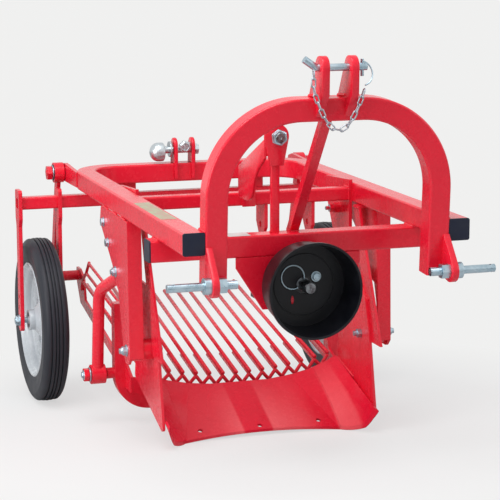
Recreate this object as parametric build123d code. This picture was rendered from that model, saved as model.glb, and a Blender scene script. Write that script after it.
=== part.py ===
import os
from math import asin, atan2, cos, degrees, hypot, radians, sin, tan

from build123d import *

# One-row potato digger for a tractor's three-point hitch, in millimetres.
# Machine frame while building: X across, Y to the rear from the front ends of the frame members,
# Z up from the top of the frame. stand_up() at the end pitches it onto its share and wheels.

# Frame of square tube
TUBE = 60.0
WALL = 4.0
TUBE_CORNER = 6.0
FRAME_HALF = 400.0
FRAME_LENGTH = 1366.0
FRAME_BEND = 150.0
CROSS_OUT = 20.0
CROSS_HALF = FRAME_HALF + CROSS_OUT
CROSS_Y = 270.0
MID_TUBE = 40.0
MID_Y = 735.0
MID_DROP = 15.0
PLUG_FACE = 4.0
PLUG_DEPTH = 20.0
FIT = 0.3
MID_PLATE_T = 10.0
MID_LUG_X = (65.0, 215.0)
MID_LUG_HOLE = 20.0

# Hitch arch, its lugs and pins
ARCH_FRONT = -7.0
ARCH_RISE = 338.0
ARCH_DROP = 150.0
ARCH_BEND = 255.0
ARCH_LEAN = 3.5
TOP_LUG_T = 20.0
TOP_LUG_GAP = 60.0
TOP_LUG_W = 56.0
TOP_PIN_Z = 417.0
TOP_PIN_AHEAD = 40.0
TOP_PIN_D = 19.0
LOW_LUG_T = 18.0
LOW_LUG_IN = 78.0
LOW_LUG_X = FRAME_HALF - LOW_LUG_IN
LOW_LUG_W = 62.0
LOW_PIN_Z = -132.0
LOW_PIN_AHEAD = 45.0
LOW_PIN_D = 22.0
LOW_PIN_REACH = LOW_LUG_X + 133.0
LOW_COLLAR_D = 44.0
LINCH_D = 9.0
LINCH_HOLE_D = 11.0
BRACE_W = 25.0
BRACE_T = 26.0
CHAIN_LINK_L = 29.0
CHAIN_LINK_W = 15.0
CHAIN_WIRE = 4.0
CHAIN_SAG = 104.0

# Drive
PTO_D = 34.9
PTO_FREE = 60.0
PTO_SEAT_D = 40.0
PTO_Z = -196.0
GUARD_D = 262.0
GUARD_LENGTH = 105.0
GUARD_TAPER = 6.0
GUARD_FRONT = 95.0
GUARD_WALL = 4.0
GEARBOX_W = 150.0
GEARBOX_H = 170.0
GEARBOX_L = 190.0

# Hangers and share
HANGER_OUT = 5.0
HANGER_X = FRAME_HALF + HANGER_OUT
HANGER_T = 8.0
HANGER_FLANGE = 42.0
PIVOT_Y = 585.0
PIVOT_Z = -440.0
SHARE_CREASE_X = 242.0
SHARE_CREASE_Y = 542.0
SHARE_CREASE_Z = -723.0
SHARE_CORNER = (313.0, 452.0)
SHARE_BOW = 22.0
SHARE_SLOPE = 22.0
SHARE_BACK_Y = 790.0
SHARE_T = 8.0
SHARE_HOLE_D = 15.0
SHARE_HOLE_X = 186.0
SHARE_HOLE_BACK = 42.0
SHARE_BOLT_D = 16.0
SHARE_BUSH_D = 64.0
SIDE_T = 8.0
SIDE_INSET = 78.0
SIDE_IN = FRAME_HALF - SIDE_INSET
STRUT_T = 8.0
STRUT_W = 40.0
STRUT_FOOT_W = 95.0
STRUT_TOP_Y = 655.0
STRUT_LOW_Y = 496.0

# Sieve and its swinging links
ROD_D = 10.0
ROD_PITCH = 43.0
ROD_COUNT = 15
ROD_FRONT_Y = 814.0
ROD_FRONT_Z = -592.0
ROD_DISH = 25.0
ROD_DISH_X = 237.0
REAR_DISH = 17.0
REAR_BOW = 35.0
SIEVE_SLOPE = 10.4
SIEVE_HALF = 328.0
SIEVE_SIDE_T = 8.0
ZIGZAG_D = 8.0
ZIGZAG_H = 27.0
ZIGZAG_TAIL = 66.0
SIDE_ROD_RISE = 6.5
SIDE_BAR_H = 30.0
HOOP_TUBE = 40.0
HOOP_LOW = -702.0
HOOP_BEND = 90.0
FRONT_PLATE_T = 8.0
FRONT_PLATE_LOW = -665.0
FRONT_TOP = (707.0, -230.0)
FRONT_NECK = (752.0, -254.0)
FRONT_KNEE = (868.0, -318.0)
FRONT_LOW = (905.0, -586.0)
FRONT_TOP_X = HANGER_X - 21.0
FRONT_LOW_X = HANGER_X + 14.0
ARM_D = 36.0
ARM_BEND = 70.0
ARM_EYE_T = 18.0
ARM_EYE_D = 46.0
ARM_BOSS_D = 60.0
ARM_BOSS_L = 44.0
LINK_BOLT_D = 16.0
LINK_PIN_D = 20.0
REAR_TOP = (FRAME_LENGTH + 64.0, -30.0)
REAR_LOW = (FRAME_LENGTH + 174.0, -400.0)
ROD_REAR_Y = REAR_LOW[0] - 40.0
REAR_LINK_X = FRAME_HALF + 4.0
REAR_EYE_L = 32.0
REAR_BOLT_D = 20.0
LINK_T = 12.0
LINK_W = 38.0
RUN = 0.08
OPEN_PLAY = 1.5

# Wheels
WHEEL_OUT = 101.0
WHEEL_X = FRAME_HALF + WHEEL_OUT
WHEEL_Y = FRAME_LENGTH - 8.0
WHEEL_Z = -503.0
WHEEL_R = 268.0
TYRE_W = 84.0
RIM_R = 187.0
HUB_R = 34.0
HUB_W = 92.0
AXLE_D = 20.0
FORK_T = 12.0
FORK_W = 40.0
FORK_HEAD_W = 62.0
FORK_GAP = 118.0
CARRIER_TUBE = 40.0
CARRIER_Z = -95.0
FORK_HOLE_D = 12.0
FORK_HOLES = (45.0, 80.0)

parts = {}


def box(x0, x1, y0, y1, z0, z1):
    """Block between two corners."""
    return Pos((x0 + x1) / 2, (y0 + y1) / 2, (z0 + z1) / 2) * Box(abs(x1 - x0), abs(y1 - y0), abs(z1 - z0))


def rod_x(x0, x1, y, z, d):
    """Round bar along X."""
    return Pos((x0 + x1) / 2, y, z) * Rot(0, 90, 0) * Cylinder(d / 2, abs(x1 - x0))


def rod_y(x, y0, y1, z, d):
    """Round bar along Y."""
    return Pos(x, (y0 + y1) / 2, z) * Rot(90, 0, 0) * Cylinder(d / 2, abs(y1 - y0))


def bar(p, q, d):
    """Round bar from p to q."""
    a = Vector(*p)
    b = Vector(*q)
    n = b - a
    return Plane(origin=(a + b) / 2, z_dir=n) * Cylinder(d / 2, n.length)


def strip(p, q, w, t):
    """Flat bar from p to q, t thick across the machine."""
    a = Vector(*p)
    b = Vector(*q)
    n = b - a
    return Plane(origin=(a + b) / 2, x_dir=(1, 0, 0), z_dir=n) * Box(t, w, n.length)


def plate_xz(points, y0, y1):
    """Flat plate cut from a front-view outline of (x, z) points, between two Y places."""
    face = make_face(Polyline([(p[0], p[1]) for p in points], close=True))
    on_front = Plane(origin=(0, max(y0, y1), 0), x_dir=(1, 0, 0), z_dir=(0, -1, 0))
    return extrude(on_front * face, abs(y1 - y0))


def plate_yz(points, x0, x1, round_r=0.0):
    """Flat plate cut from a side-view outline of (y, z) points, between two X places."""
    face = make_face(Polyline([(p[0], p[1]) for p in points], close=True))
    if round_r:
        face = fillet(face.vertices(), round_r)
    on_side = Plane(origin=(min(x0, x1), 0, 0), x_dir=(0, 1, 0), z_dir=(1, 0, 0))
    return extrude(on_side * face, abs(x1 - x0))


def eye_bar(y0, z0, y1, z1, w, x0, x1):
    """Flat bar with round ends from one pivot to the other, seen from the side."""
    length = hypot(y1 - y0, z1 - z0)
    turn = degrees(atan2(z1 - z0, y1 - y0))
    flat = Pos((y0 + y1) / 2, (z0 + z1) / 2) * Rot(0, 0, turn) * SlotCenterToCenter(length, w)
    on_side = Plane(origin=(min(x0, x1), 0, 0), x_dir=(0, 1, 0), z_dir=(1, 0, 0))
    return extrude(on_side * flat, abs(x1 - x0))


def hollow(path, start, size, corner=TUBE_CORNER):
    """Square tube along a path of lines and tangent arcs."""
    outer = sweep(start * RectangleRounded(size, size, corner), path=path)
    inner = sweep(start * Rectangle(size - 2 * WALL, size - 2 * WALL), path=path)
    return outer - inner


def both_sides(shape):
    """A piece and its mirror image, as two solids of one node."""
    return Compound(children=[shape, mirror(shape, about=Plane.YZ)])


def largest(shape):
    """The biggest solid of a shape, without the scraps that a cut leaves."""
    return shape.solids().sort_by(SortBy.VOLUME)[-1]


def nut(x0, x1, y, z, across):
    """Hexagon nut or bolt head on an axis along X."""
    hexagon = RegularPolygon(across / 2, 6, major_radius=False)
    on_side = Plane(origin=(min(x0, x1), y, z), x_dir=(0, 1, 0), z_dir=(1, 0, 0))
    return extrude(on_side * hexagon, abs(x1 - x0))


# Frame: a U of square tube, open at the front; two straight members and the bent bow behind them
tube_z = -TUBE / 2
run_x = FRAME_HALF - TUBE / 2
back_y = FRAME_LENGTH - TUBE / 2
bend_r = FRAME_BEND - TUBE / 2
frame_path = FilletPolyline(
    (-run_x, 0, tube_z), (-run_x, back_y, tube_z), (run_x, back_y, tube_z), (run_x, 0, tube_z), radius=bend_r
)
frame_tube = hollow(frame_path, Plane(origin=(-run_x, 0, tube_z), z_dir=(0, 1, 0)), TUBE)
bow_y = back_y - bend_r
ahead_of_bow = box(-FRAME_HALF - TUBE, FRAME_HALF + TUBE, -TUBE, bow_y, -2 * TUBE, TUBE)
parts["main_frame"] = Compound(children=(frame_tube & ahead_of_bow).solids())
parts["frame_bow"] = largest(frame_tube - ahead_of_bow)

cross_path = Line((-CROSS_HALF, CROSS_Y, -1.5 * TUBE), (CROSS_HALF, CROSS_Y, -1.5 * TUBE))
parts["front_cross_tube"] = hollow(cross_path, Plane(origin=(-CROSS_HALF, CROSS_Y, -1.5 * TUBE), z_dir=(1, 0, 0)), TUBE)

mid_half = FRAME_HALF - TUBE - MID_PLATE_T
mid_z = -MID_DROP - MID_TUBE / 2
mid_path = Line((-mid_half, MID_Y, mid_z), (mid_half, MID_Y, mid_z))
mid_tube = hollow(mid_path, Plane(origin=(-mid_half, MID_Y, mid_z), z_dir=(1, 0, 0)), MID_TUBE)
mid_low = mid_z - MID_TUBE / 2
mid_lug_shape = [
    (MID_Y - 18, mid_low),
    (MID_Y + 65, mid_low),
    (MID_Y + 65, mid_low - 60),
    (MID_Y + 40, mid_low - 95),
    (MID_Y + 5, mid_low - 95),
    (MID_Y - 18, mid_low - 70),
]
for x in MID_LUG_X:
    lug = plate_yz(mid_lug_shape, x - MID_PLATE_T / 2, x + MID_PLATE_T / 2)
    mid_tube += lug - rod_x(x - MID_PLATE_T, x + MID_PLATE_T, MID_Y + 24, mid_low - 66, MID_LUG_HOLE)
parts["mid_cross_tube"] = mid_tube
mid_plate_shape = [
    (MID_Y - 22, 10),
    (MID_Y + 180, -4),
    (MID_Y + 180, -60),
    (MID_Y + 120, -160),
    (MID_Y - 22, -160),
]
mid_plate = plate_yz(mid_plate_shape, mid_half, mid_half + MID_PLATE_T)
boss_y = MID_Y + 60
boss_z = -88
mid_plate += rod_x(mid_half - 22, mid_half, boss_y, boss_z, 32)
mid_plate += nut(mid_half - 34, mid_half - 22, boss_y, boss_z, 24)
mid_plate += rod_x(mid_half - 46, mid_half - 34, boss_y, boss_z, 12)
parts["mid_plates"] = both_sides(mid_plate)

# Plastic plugs in the open tube ends
inner = TUBE - 2 * WALL - 2 * FIT
plug_cap = extrude(RectangleRounded(TUBE, TUBE, TUBE_CORNER), PLUG_FACE)
plug_spigot = extrude(RectangleRounded(inner, inner, 2), -PLUG_DEPTH)
plug = plug_cap + plug_spigot
plug_ends = [
    Plane(origin=(-run_x, 0, tube_z), x_dir=(1, 0, 0), z_dir=(0, -1, 0)),
    Plane(origin=(run_x, 0, tube_z), x_dir=(1, 0, 0), z_dir=(0, -1, 0)),
    Plane(origin=(-CROSS_HALF, CROSS_Y, -1.5 * TUBE), x_dir=(0, 1, 0), z_dir=(-1, 0, 0)),
    Plane(origin=(CROSS_HALF, CROSS_Y, -1.5 * TUBE), x_dir=(0, 1, 0), z_dir=(1, 0, 0)),
]
parts["tube_end_plugs"] = Compound(children=[end * plug for end in plug_ends])

# Hitch arch: bent tube standing inside the two members, leaning a little forward
arch_x = FRAME_HALF - 1.5 * TUBE
arch_y = ARCH_FRONT + TUBE / 2
arch_top = ARCH_RISE - TUBE / 2
arch_path = FilletPolyline(
    (-arch_x, arch_y, -ARCH_DROP),
    (-arch_x, arch_y, arch_top),
    (arch_x, arch_y, arch_top),
    (arch_x, arch_y, -ARCH_DROP),
    radius=ARCH_BEND - TUBE / 2,
)
arch = hollow(arch_path, Plane(origin=(-arch_x, arch_y, -ARCH_DROP), z_dir=(0, 0, 1)), TUBE)
arch_hinge = Axis((0, arch_y, -TUBE / 2), (1, 0, 0))
parts["hitch_arch"] = arch.rotate(arch_hinge, ARCH_LEAN)


def arch_face(z):
    """Y of the arch's front face at a height."""
    return arch_y - TUBE / 2 / cos(radians(ARCH_LEAN)) - (z - tube_z) * tan(radians(ARCH_LEAN))


# Top-link lugs, pin and chain
top_pin_y = arch_face(ARCH_RISE) - TOP_PIN_AHEAD + 20
lug_x0 = TOP_LUG_GAP / 2
lug_back = arch_face(ARCH_RISE) + TUBE
lug_shape = [
    (top_pin_y - TOP_LUG_W / 2, TOP_PIN_Z - 70),
    (top_pin_y - TOP_LUG_W / 2 - 2, TOP_PIN_Z + 4),
    (top_pin_y - TOP_LUG_W / 2 + 14, TOP_PIN_Z + 32),
    (top_pin_y + TOP_LUG_W / 2 - 8, TOP_PIN_Z + 32),
    (lug_back - 4, ARCH_RISE + 2),
    (arch_face(ARCH_RISE - 50) + 4, ARCH_RISE + 2),
    (arch_face(ARCH_RISE - 50), ARCH_RISE - 50),
]
top_lug = plate_yz(lug_shape, lug_x0, lug_x0 + TOP_LUG_T)
top_lug -= rod_x(lug_x0 - 1, lug_x0 + TOP_LUG_T + 1, top_pin_y, TOP_PIN_Z, TOP_PIN_D + 0.2)
parts["top_link_lugs"] = both_sides(largest(top_lug - parts["hitch_arch"]))

pin_out = lug_x0 + TOP_LUG_T + 30
pin_bend = -lug_x0 - TOP_LUG_T - 8
linch_x = pin_out - 12
top_pin = rod_x(pin_bend, pin_out, top_pin_y, TOP_PIN_Z, TOP_PIN_D)
top_pin += Pos(pin_bend, top_pin_y, TOP_PIN_Z) * Sphere(TOP_PIN_D / 2)
top_pin += bar((pin_bend, top_pin_y, TOP_PIN_Z), (pin_bend - 32, top_pin_y, TOP_PIN_Z + 22), TOP_PIN_D)
top_pin += Pos(linch_x, top_pin_y, TOP_PIN_Z - 2) * Cylinder(LINCH_D / 2, 44)
ring_arc = ThreePointArc(
    (linch_x, top_pin_y, TOP_PIN_Z + 15),
    (linch_x + 24, top_pin_y - 11, TOP_PIN_Z - 16),
    (linch_x, top_pin_y - 22, TOP_PIN_Z - 46),
)
top_pin += sweep(Plane(origin=ring_arc @ 0, z_dir=ring_arc % 0) * Circle(CHAIN_WIRE / 2), path=ring_arc)
parts["top_link_pin"] = top_pin

# Chain from the handle to the linch pin: a short drop, then a sagging run
chain_y = top_pin_y - 22
chain_end = (linch_x - 2, TOP_PIN_Z - 58)
chain_start = (pin_bend - 14, TOP_PIN_Z - 6)
chain_turn = (pin_bend - 14, TOP_PIN_Z - 54)
link_step = CHAIN_LINK_L - 2 * CHAIN_WIRE - 0.6


def chain_point(t):
    """A place on the chain: t runs below 0 on the drop and from 0 to 1 on the sagging run."""
    if t < 0:
        return (chain_turn[0], chain_turn[1] - t * (chain_start[1] - chain_turn[1]))
    x = chain_turn[0] + t * (chain_end[0] - chain_turn[0])
    z = chain_turn[1] + t * (chain_end[1] - chain_turn[1])
    return (x, z - CHAIN_SAG * 4 * t * (1 - t))


link_flat = SlotOverall(CHAIN_LINK_L, CHAIN_LINK_W) - SlotOverall(CHAIN_LINK_L - 2 * CHAIN_WIRE, CHAIN_LINK_W - 2 * CHAIN_WIRE)
link_solid = extrude(link_flat, CHAIN_WIRE / 2, both=True)
chain_links = []
t = -1.0
while t < 1:
    here = chain_point(t)
    ahead = t
    while ahead < 1 and hypot(chain_point(ahead)[0] - here[0], chain_point(ahead)[1] - here[1]) < link_step:
        ahead += 0.002
    there = chain_point(ahead)
    middle = Vector((here[0] + there[0]) / 2, chain_y, (here[1] + there[1]) / 2)
    along = Vector(there[0] - here[0], 0, there[1] - here[1])
    across = (0, 1, 0) if len(chain_links) % 2 else along.cross(Vector(0, 1, 0))
    chain_links.append(Plane(origin=middle, x_dir=along, z_dir=across) * link_solid)
    t = ahead
parts["top_pin_chain"] = Compound(children=chain_links)

# Lower hitch lugs and pins
low_pin_y = arch_face(LOW_PIN_Z) - LOW_PIN_AHEAD
low_lug_shape = [
    (low_pin_y - LOW_LUG_W / 2 + 6, LOW_PIN_Z + 28),
    (arch_face(LOW_PIN_Z + 86) - 2, LOW_PIN_Z + 92),
    (arch_face(LOW_PIN_Z + 86) + 3, LOW_PIN_Z + 92),
    (arch_face(-ARCH_DROP) + 3, -ARCH_DROP - 2),
    (low_pin_y + 14, LOW_PIN_Z - 36),
    (low_pin_y - 16, LOW_PIN_Z - 36),
    (low_pin_y - LOW_LUG_W / 2, LOW_PIN_Z - 14),
]
low_lug = plate_yz(low_lug_shape, LOW_LUG_X, LOW_LUG_X + LOW_LUG_T)
low_lug -= rod_x(LOW_LUG_X - 1, LOW_LUG_X + LOW_LUG_T + 1, low_pin_y, LOW_PIN_Z, LOW_PIN_D + 0.2)
parts["lower_hitch_lugs"] = both_sides(largest(low_lug - parts["hitch_arch"]))

collar_x = LOW_LUG_X + LOW_LUG_T
low_pin = rod_x(LOW_LUG_X - 54, LOW_PIN_REACH, low_pin_y, LOW_PIN_Z, LOW_PIN_D)
low_pin += rod_x(collar_x, collar_x + 18, low_pin_y, LOW_PIN_Z, LOW_COLLAR_D)
low_pin += nut(LOW_LUG_X - 24, LOW_LUG_X, low_pin_y, LOW_PIN_Z, 36)
low_pin -= Pos(LOW_PIN_REACH - 16, low_pin_y, LOW_PIN_Z) * Cylinder(LINCH_HOLE_D / 2, 2 * LOW_PIN_D)
parts["lower_pin_right"] = low_pin
parts["lower_pin_left"] = mirror(low_pin, about=Plane.YZ)

# Brace from the arch top down to the front cross tube
brace_top = (arch_face(ARCH_RISE - 60) + TUBE + 2, ARCH_RISE - 66)
brace_foot = (CROSS_Y + 24, -TUBE)
brace_run = hypot(brace_foot[0] - brace_top[0], brace_foot[1] - brace_top[1])
brace_turn = degrees(atan2(brace_foot[1] - brace_top[1], brace_foot[0] - brace_top[0]))
brace_len = brace_run + 60
brace_mid = Pos(0, (brace_top[0] + brace_foot[0]) / 2, (brace_top[1] + brace_foot[1]) / 2)
brace = brace_mid * Rot(brace_turn, 0, 0) * Box(BRACE_T, brace_len, BRACE_W)
brace -= parts["hitch_arch"]
brace -= box(-BRACE_T, BRACE_T, -2 * TUBE, CROSS_Y + 4 * TUBE, -4 * TUBE, -TUBE)
brace -= box(-BRACE_T, BRACE_T, -4 * TUBE, arch_y, -TUBE, 2 * ARCH_RISE)
parts["arch_brace"] = largest(brace)

# Post on the cross tube with its face plate and its brace to the mid tube
post_x = -58
post = box(post_x - 12, post_x + 12, CROSS_Y - 2, CROSS_Y + 16, -TUBE, 130)
post += box(post_x - 34, post_x + 42, CROSS_Y - 10, CROSS_Y - 2, 122, 243)
post += rod_y(post_x + 18, CROSS_Y - 24, CROSS_Y - 10, 200, 26)
post += strip((post_x - 26, CROSS_Y + 2, 134), (post_x + 30, MID_Y - MID_TUBE / 2 - 4, mid_z + 8), 20, 20)
parts["centre_post"] = post - parts["mid_cross_tube"]

# Drive: gearbox block under the cross tube, guard cup and the splined stub shaft
nose_y = GUARD_FRONT + GUARD_LENGTH
bracket_y = CROSS_Y - TUBE / 2
bracket_shape = [
    (-180, -2 * TUBE),
    (180, -2 * TUBE),
    (180, -2 * TUBE - 30),
    (104, PTO_Z - 72),
    (-104, PTO_Z - 72),
    (-180, -2 * TUBE - 30),
]
bracket = plate_xz(bracket_shape, bracket_y, bracket_y + 8)
nose = rod_y(0, nose_y, bracket_y + 8, PTO_Z, 120)
bracket -= nose
block_y = bracket_y + 8
gearbox = box(-GEARBOX_W / 2, GEARBOX_W / 2, block_y, block_y + GEARBOX_L, PTO_Z - 75, -2 * TUBE)
gearbox += nose
gearbox -= rod_y(0, nose_y - 10, block_y + 60, PTO_Z, PTO_SEAT_D + 2 * RUN)
parts["gearbox"] = gearbox
parts["gearbox_bracket"] = bracket
guard_plane = Plane(origin=(0, nose_y, PTO_Z), x_dir=(1, 0, 0), z_dir=(0, -1, 0))
cup_back_r = GUARD_D / 2 - GUARD_LENGTH * tan(radians(GUARD_TAPER))
cup = extrude(guard_plane * Circle(cup_back_r), GUARD_LENGTH, taper=-GUARD_TAPER)
cup_inside = Plane(origin=(0, nose_y - GUARD_WALL, PTO_Z), x_dir=(1, 0, 0), z_dir=(0, -1, 0))
cup -= extrude(cup_inside * Circle(cup_back_r - GUARD_WALL), GUARD_LENGTH, taper=-GUARD_TAPER)
cup += rod_y(0, GUARD_FRONT, GUARD_FRONT + 10, PTO_Z, GUARD_D + 4) - rod_y(0, GUARD_FRONT - 1, GUARD_FRONT + 11, PTO_Z, GUARD_D - 7)
cup -= rod_y(0, GUARD_FRONT - 10, nose_y + 10, PTO_Z, PTO_SEAT_D + 12)
parts["pto_guard"] = cup
pto_shaft = rod_y(0, nose_y - PTO_FREE, nose_y, PTO_Z, PTO_D)
parts["pto_shaft"] = pto_shaft + rod_y(0, nose_y, block_y + 55, PTO_Z, PTO_SEAT_D)

# Hangers under the members: folded channels that carry the share and the front links
hanger_shape = [
    (PIVOT_Y - 20, -TUBE),
    (PIVOT_Y + 300, -TUBE),
    (PIVOT_Y + 315, -TUBE - 50),
    (PIVOT_Y + 240, -TUBE - 100),
    (FRONT_TOP[0] + 34, FRONT_TOP[1] + 10),
    (FRONT_TOP[0] + 14, FRONT_TOP[1] - 28),
    (FRONT_TOP[0] - 30, FRONT_TOP[1] - 50),
    (PIVOT_Y + 34, PIVOT_Z - 20),
    (PIVOT_Y + 15, PIVOT_Z - 40),
    (PIVOT_Y - 15, PIVOT_Z - 40),
    (PIVOT_Y - 35, PIVOT_Z - 20),
]
inner_shape = [
    (PIVOT_Y - 20, -TUBE),
    (PIVOT_Y + 160, -TUBE),
    (FRONT_TOP[0] + 30, FRONT_TOP[1] + 10),
    (FRONT_TOP[0] + 10, FRONT_TOP[1] - 26),
    (FRONT_TOP[0] - 30, FRONT_TOP[1] - 30),
    (PIVOT_Y - 14, FRONT_TOP[1] - 60),
    (PIVOT_Y - 28, FRONT_TOP[1] - 60),
]
web_shape = [
    (PIVOT_Y - 20, -TUBE),
    (PIVOT_Y - 10, -TUBE),
    (PIVOT_Y - 25, PIVOT_Z - 20),
    (PIVOT_Y - 35, PIVOT_Z - 20),
]
inner_x = HANGER_X - HANGER_FLANGE
hanger = plate_yz(hanger_shape, HANGER_X - HANGER_T, HANGER_X, 9)
hanger += plate_yz(web_shape, inner_x, HANGER_X)
hanger += plate_yz(inner_shape, inner_x, inner_x + HANGER_T, 9)
hanger -= rod_x(inner_x - 10, HANGER_X + 10, PIVOT_Y, PIVOT_Z, SHARE_BOLT_D)
hanger -= rod_x(inner_x - 10, HANGER_X + 10, FRONT_TOP[0], FRONT_TOP[1], LINK_BOLT_D)
parts["hanger_right"] = hanger
parts["hanger_left"] = mirror(hanger, about=Plane.YZ)
link_bolt = rod_x(inner_x - 18, HANGER_X + 16, FRONT_TOP[0], FRONT_TOP[1], LINK_BOLT_D)
link_bolt += nut(inner_x - 12, inner_x, FRONT_TOP[0], FRONT_TOP[1], 24)
link_bolt += nut(HANGER_X, HANGER_X + 10, FRONT_TOP[0], FRONT_TOP[1], 24)
frame_bolts = [nut(HANGER_X, HANGER_X + 9, PIVOT_Y + run, z, 22) for run, z in ((213, -158), (266, -104))]
parts["link_bolts"] = Compound(children=[both_sides(link_bolt)] + [both_sides(head) for head in frame_bolts])

# Share: a blade dished by folds that fan out to the back, in one sheet with its wings
# Folds from the middle outwards: x and height at the front crease, x and height at the back edge
share_folds = [
    (196, 0, 95, 0),
    (SHARE_CREASE_X, 0, 165, 8),
    (282, 42, 230, 22),
    (305, 74, 285, 42),
    (SIDE_IN, 104, SIDE_IN, 60),
]
rise = tan(radians(SHARE_SLOPE))


def share_section(y):
    """The folded sheet's cross-section at a place along the machine."""
    k = (y - SHARE_CREASE_Y) / (SHARE_BACK_Y - SHARE_CREASE_Y)
    base = SHARE_CREASE_Z + (y - SHARE_CREASE_Y) * rise
    right = [(fx + (bx - fx) * k, base + fh + (bh - fh) * k) for fx, fh, bx, bh in share_folds]
    left = [(-x, z) for x, z in reversed(right)]
    skin = offset(Polyline(*left, *right), amount=SHARE_T, side=Side.LEFT, kind=Kind.INTERSECTION)
    return Plane(origin=(0, y, 0), x_dir=(1, 0, 0), z_dir=(0, -1, 0)) * make_face(skin)


corner_x, corner_y = SHARE_CORNER
sheet = loft([share_section(corner_y - 22), share_section(SHARE_BACK_Y)], ruled=True)
edge_arc = ThreePointArc(
    (-SHARE_CREASE_X, SHARE_CREASE_Y), (0, SHARE_CREASE_Y + SHARE_BOW), (SHARE_CREASE_X, SHARE_CREASE_Y)
)
edge_rest = Polyline(
    (SHARE_CREASE_X, SHARE_CREASE_Y),
    (corner_x, corner_y),
    (corner_x + 32, corner_y - 72),
    (-corner_x - 32, corner_y - 72),
    (-corner_x, corner_y),
    (-SHARE_CREASE_X, SHARE_CREASE_Y),
)
sheet -= Pos(0, 0, SHARE_CREASE_Z - 200) * extrude(make_face([edge_arc, edge_rest]), 500)
for x in (-SHARE_HOLE_X, 0, SHARE_HOLE_X):
    hole_at = (x, SHARE_CREASE_Y + SHARE_HOLE_BACK, SHARE_CREASE_Z + SHARE_HOLE_BACK * rise)
    sheet -= Plane(origin=hole_at, z_dir=(0, -rise, 1)) * Cylinder(SHARE_HOLE_D / 2, 6 * SHARE_T)
middle_block = box(-SHARE_CREASE_X, SHARE_CREASE_X, 0, FRAME_LENGTH, 3 * SHARE_CREASE_Z, 0)
parts["share_floor"] = sheet & middle_block
parts["share_wings"] = Compound(children=(sheet - middle_block).solids())
back_z = SHARE_CREASE_Z + (SHARE_BACK_Y - SHARE_CREASE_Y) * rise
wing_back_h = share_folds[-1][3]
side_shape = [
    (corner_y + 16, share_section(corner_y + 16).bounding_box().max.Z - 34),
    (PIVOT_Y - 62, PIVOT_Z + 20),
    (PIVOT_Y - 30, PIVOT_Z + 110),
    (PIVOT_Y + 40, PIVOT_Z + 178),
    (PIVOT_Y + 150, PIVOT_Z + 178),
    (SHARE_BACK_Y, back_z + wing_back_h - 8),
]
bush_x0 = SIDE_IN + SIDE_T
side = plate_yz(side_shape, SIDE_IN, bush_x0, 12)
side -= rod_x(SIDE_IN - 10, bush_x0 + 10, PIVOT_Y, PIVOT_Z, SHARE_BOLT_D)
parts["share_side_right"] = side
parts["share_side_left"] = mirror(side, about=Plane.YZ)
bush = rod_x(bush_x0, HANGER_X - HANGER_T, PIVOT_Y, PIVOT_Z, SHARE_BUSH_D)
bush -= parts["hanger_right"]
bush -= rod_x(bush_x0 - 1, HANGER_X, PIVOT_Y, PIVOT_Z, SHARE_BOLT_D)
bolt = rod_x(SIDE_IN - 23, HANGER_X + 22, PIVOT_Y, PIVOT_Z, SHARE_BOLT_D)
bolt += nut(HANGER_X, HANGER_X + 13, PIVOT_Y, PIVOT_Z, 24)
bolt += nut(SIDE_IN - 13, SIDE_IN, PIVOT_Y, PIVOT_Z, 24)
parts["share_bushes"] = both_sides(bush)
parts["share_bolts"] = both_sides(bolt)

# Struts from the frame members, just inside the hangers, down to the front of the share sides
strut_x = bush_x0 + STRUT_T / 2
strut_head = Plane(origin=(strut_x, STRUT_TOP_Y, -TUBE - STRUT_T)) * Rectangle(STRUT_T, STRUT_W)
strut_foot = Plane(origin=(strut_x, STRUT_LOW_Y, PIVOT_Z - 14)) * Rectangle(STRUT_T, STRUT_FOOT_W)
strut = loft([strut_head, strut_foot])
pad_y0 = STRUT_TOP_Y - STRUT_W / 2
strut += box(bush_x0, inner_x - 2, pad_y0, pad_y0 + STRUT_W, -TUBE - STRUT_T, -TUBE)
strut -= parts["share_bushes"]
parts["share_struts"] = both_sides(largest(strut))

# Front links: bent arms from the hangers out and down to the hoop
boss_x0 = FRONT_LOW_X - ARM_BOSS_L / 2
boss_x1 = FRONT_LOW_X + ARM_BOSS_L / 2
eye_x0 = FRONT_TOP_X - ARM_EYE_T / 2
neck = (FRONT_NECK[0] + 16, FRONT_NECK[1] - 7)
arm_path = FilletPolyline(
    (FRONT_TOP_X, *FRONT_NECK), (FRONT_LOW_X, *FRONT_KNEE), (FRONT_LOW_X, *FRONT_LOW), radius=ARM_BEND
)
arm = sweep(Plane(origin=arm_path @ 0, z_dir=arm_path % 0) * Circle(ARM_D / 2), path=arm_path)
arm += eye_bar(*FRONT_TOP, *neck, ARM_EYE_D, eye_x0, eye_x0 + ARM_EYE_T)
arm += rod_x(boss_x0, boss_x1, *FRONT_LOW, ARM_BOSS_D)
arm -= rod_x(eye_x0 - 1, eye_x0 + ARM_EYE_T + 1, *FRONT_TOP, LINK_BOLT_D + 2 * RUN)
right_arm = arm - rod_x(boss_x0 - 9, boss_x1 + 9, *FRONT_LOW, LINK_PIN_D + 2 * RUN)
open_arm = arm - rod_x(boss_x0 - 9, boss_x1 + 9, *FRONT_LOW, LINK_PIN_D + 2 * OPEN_PLAY)
parts["front_link_right"] = right_arm
parts["front_link_left"] = mirror(open_arm, about=Plane.YZ)

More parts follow.
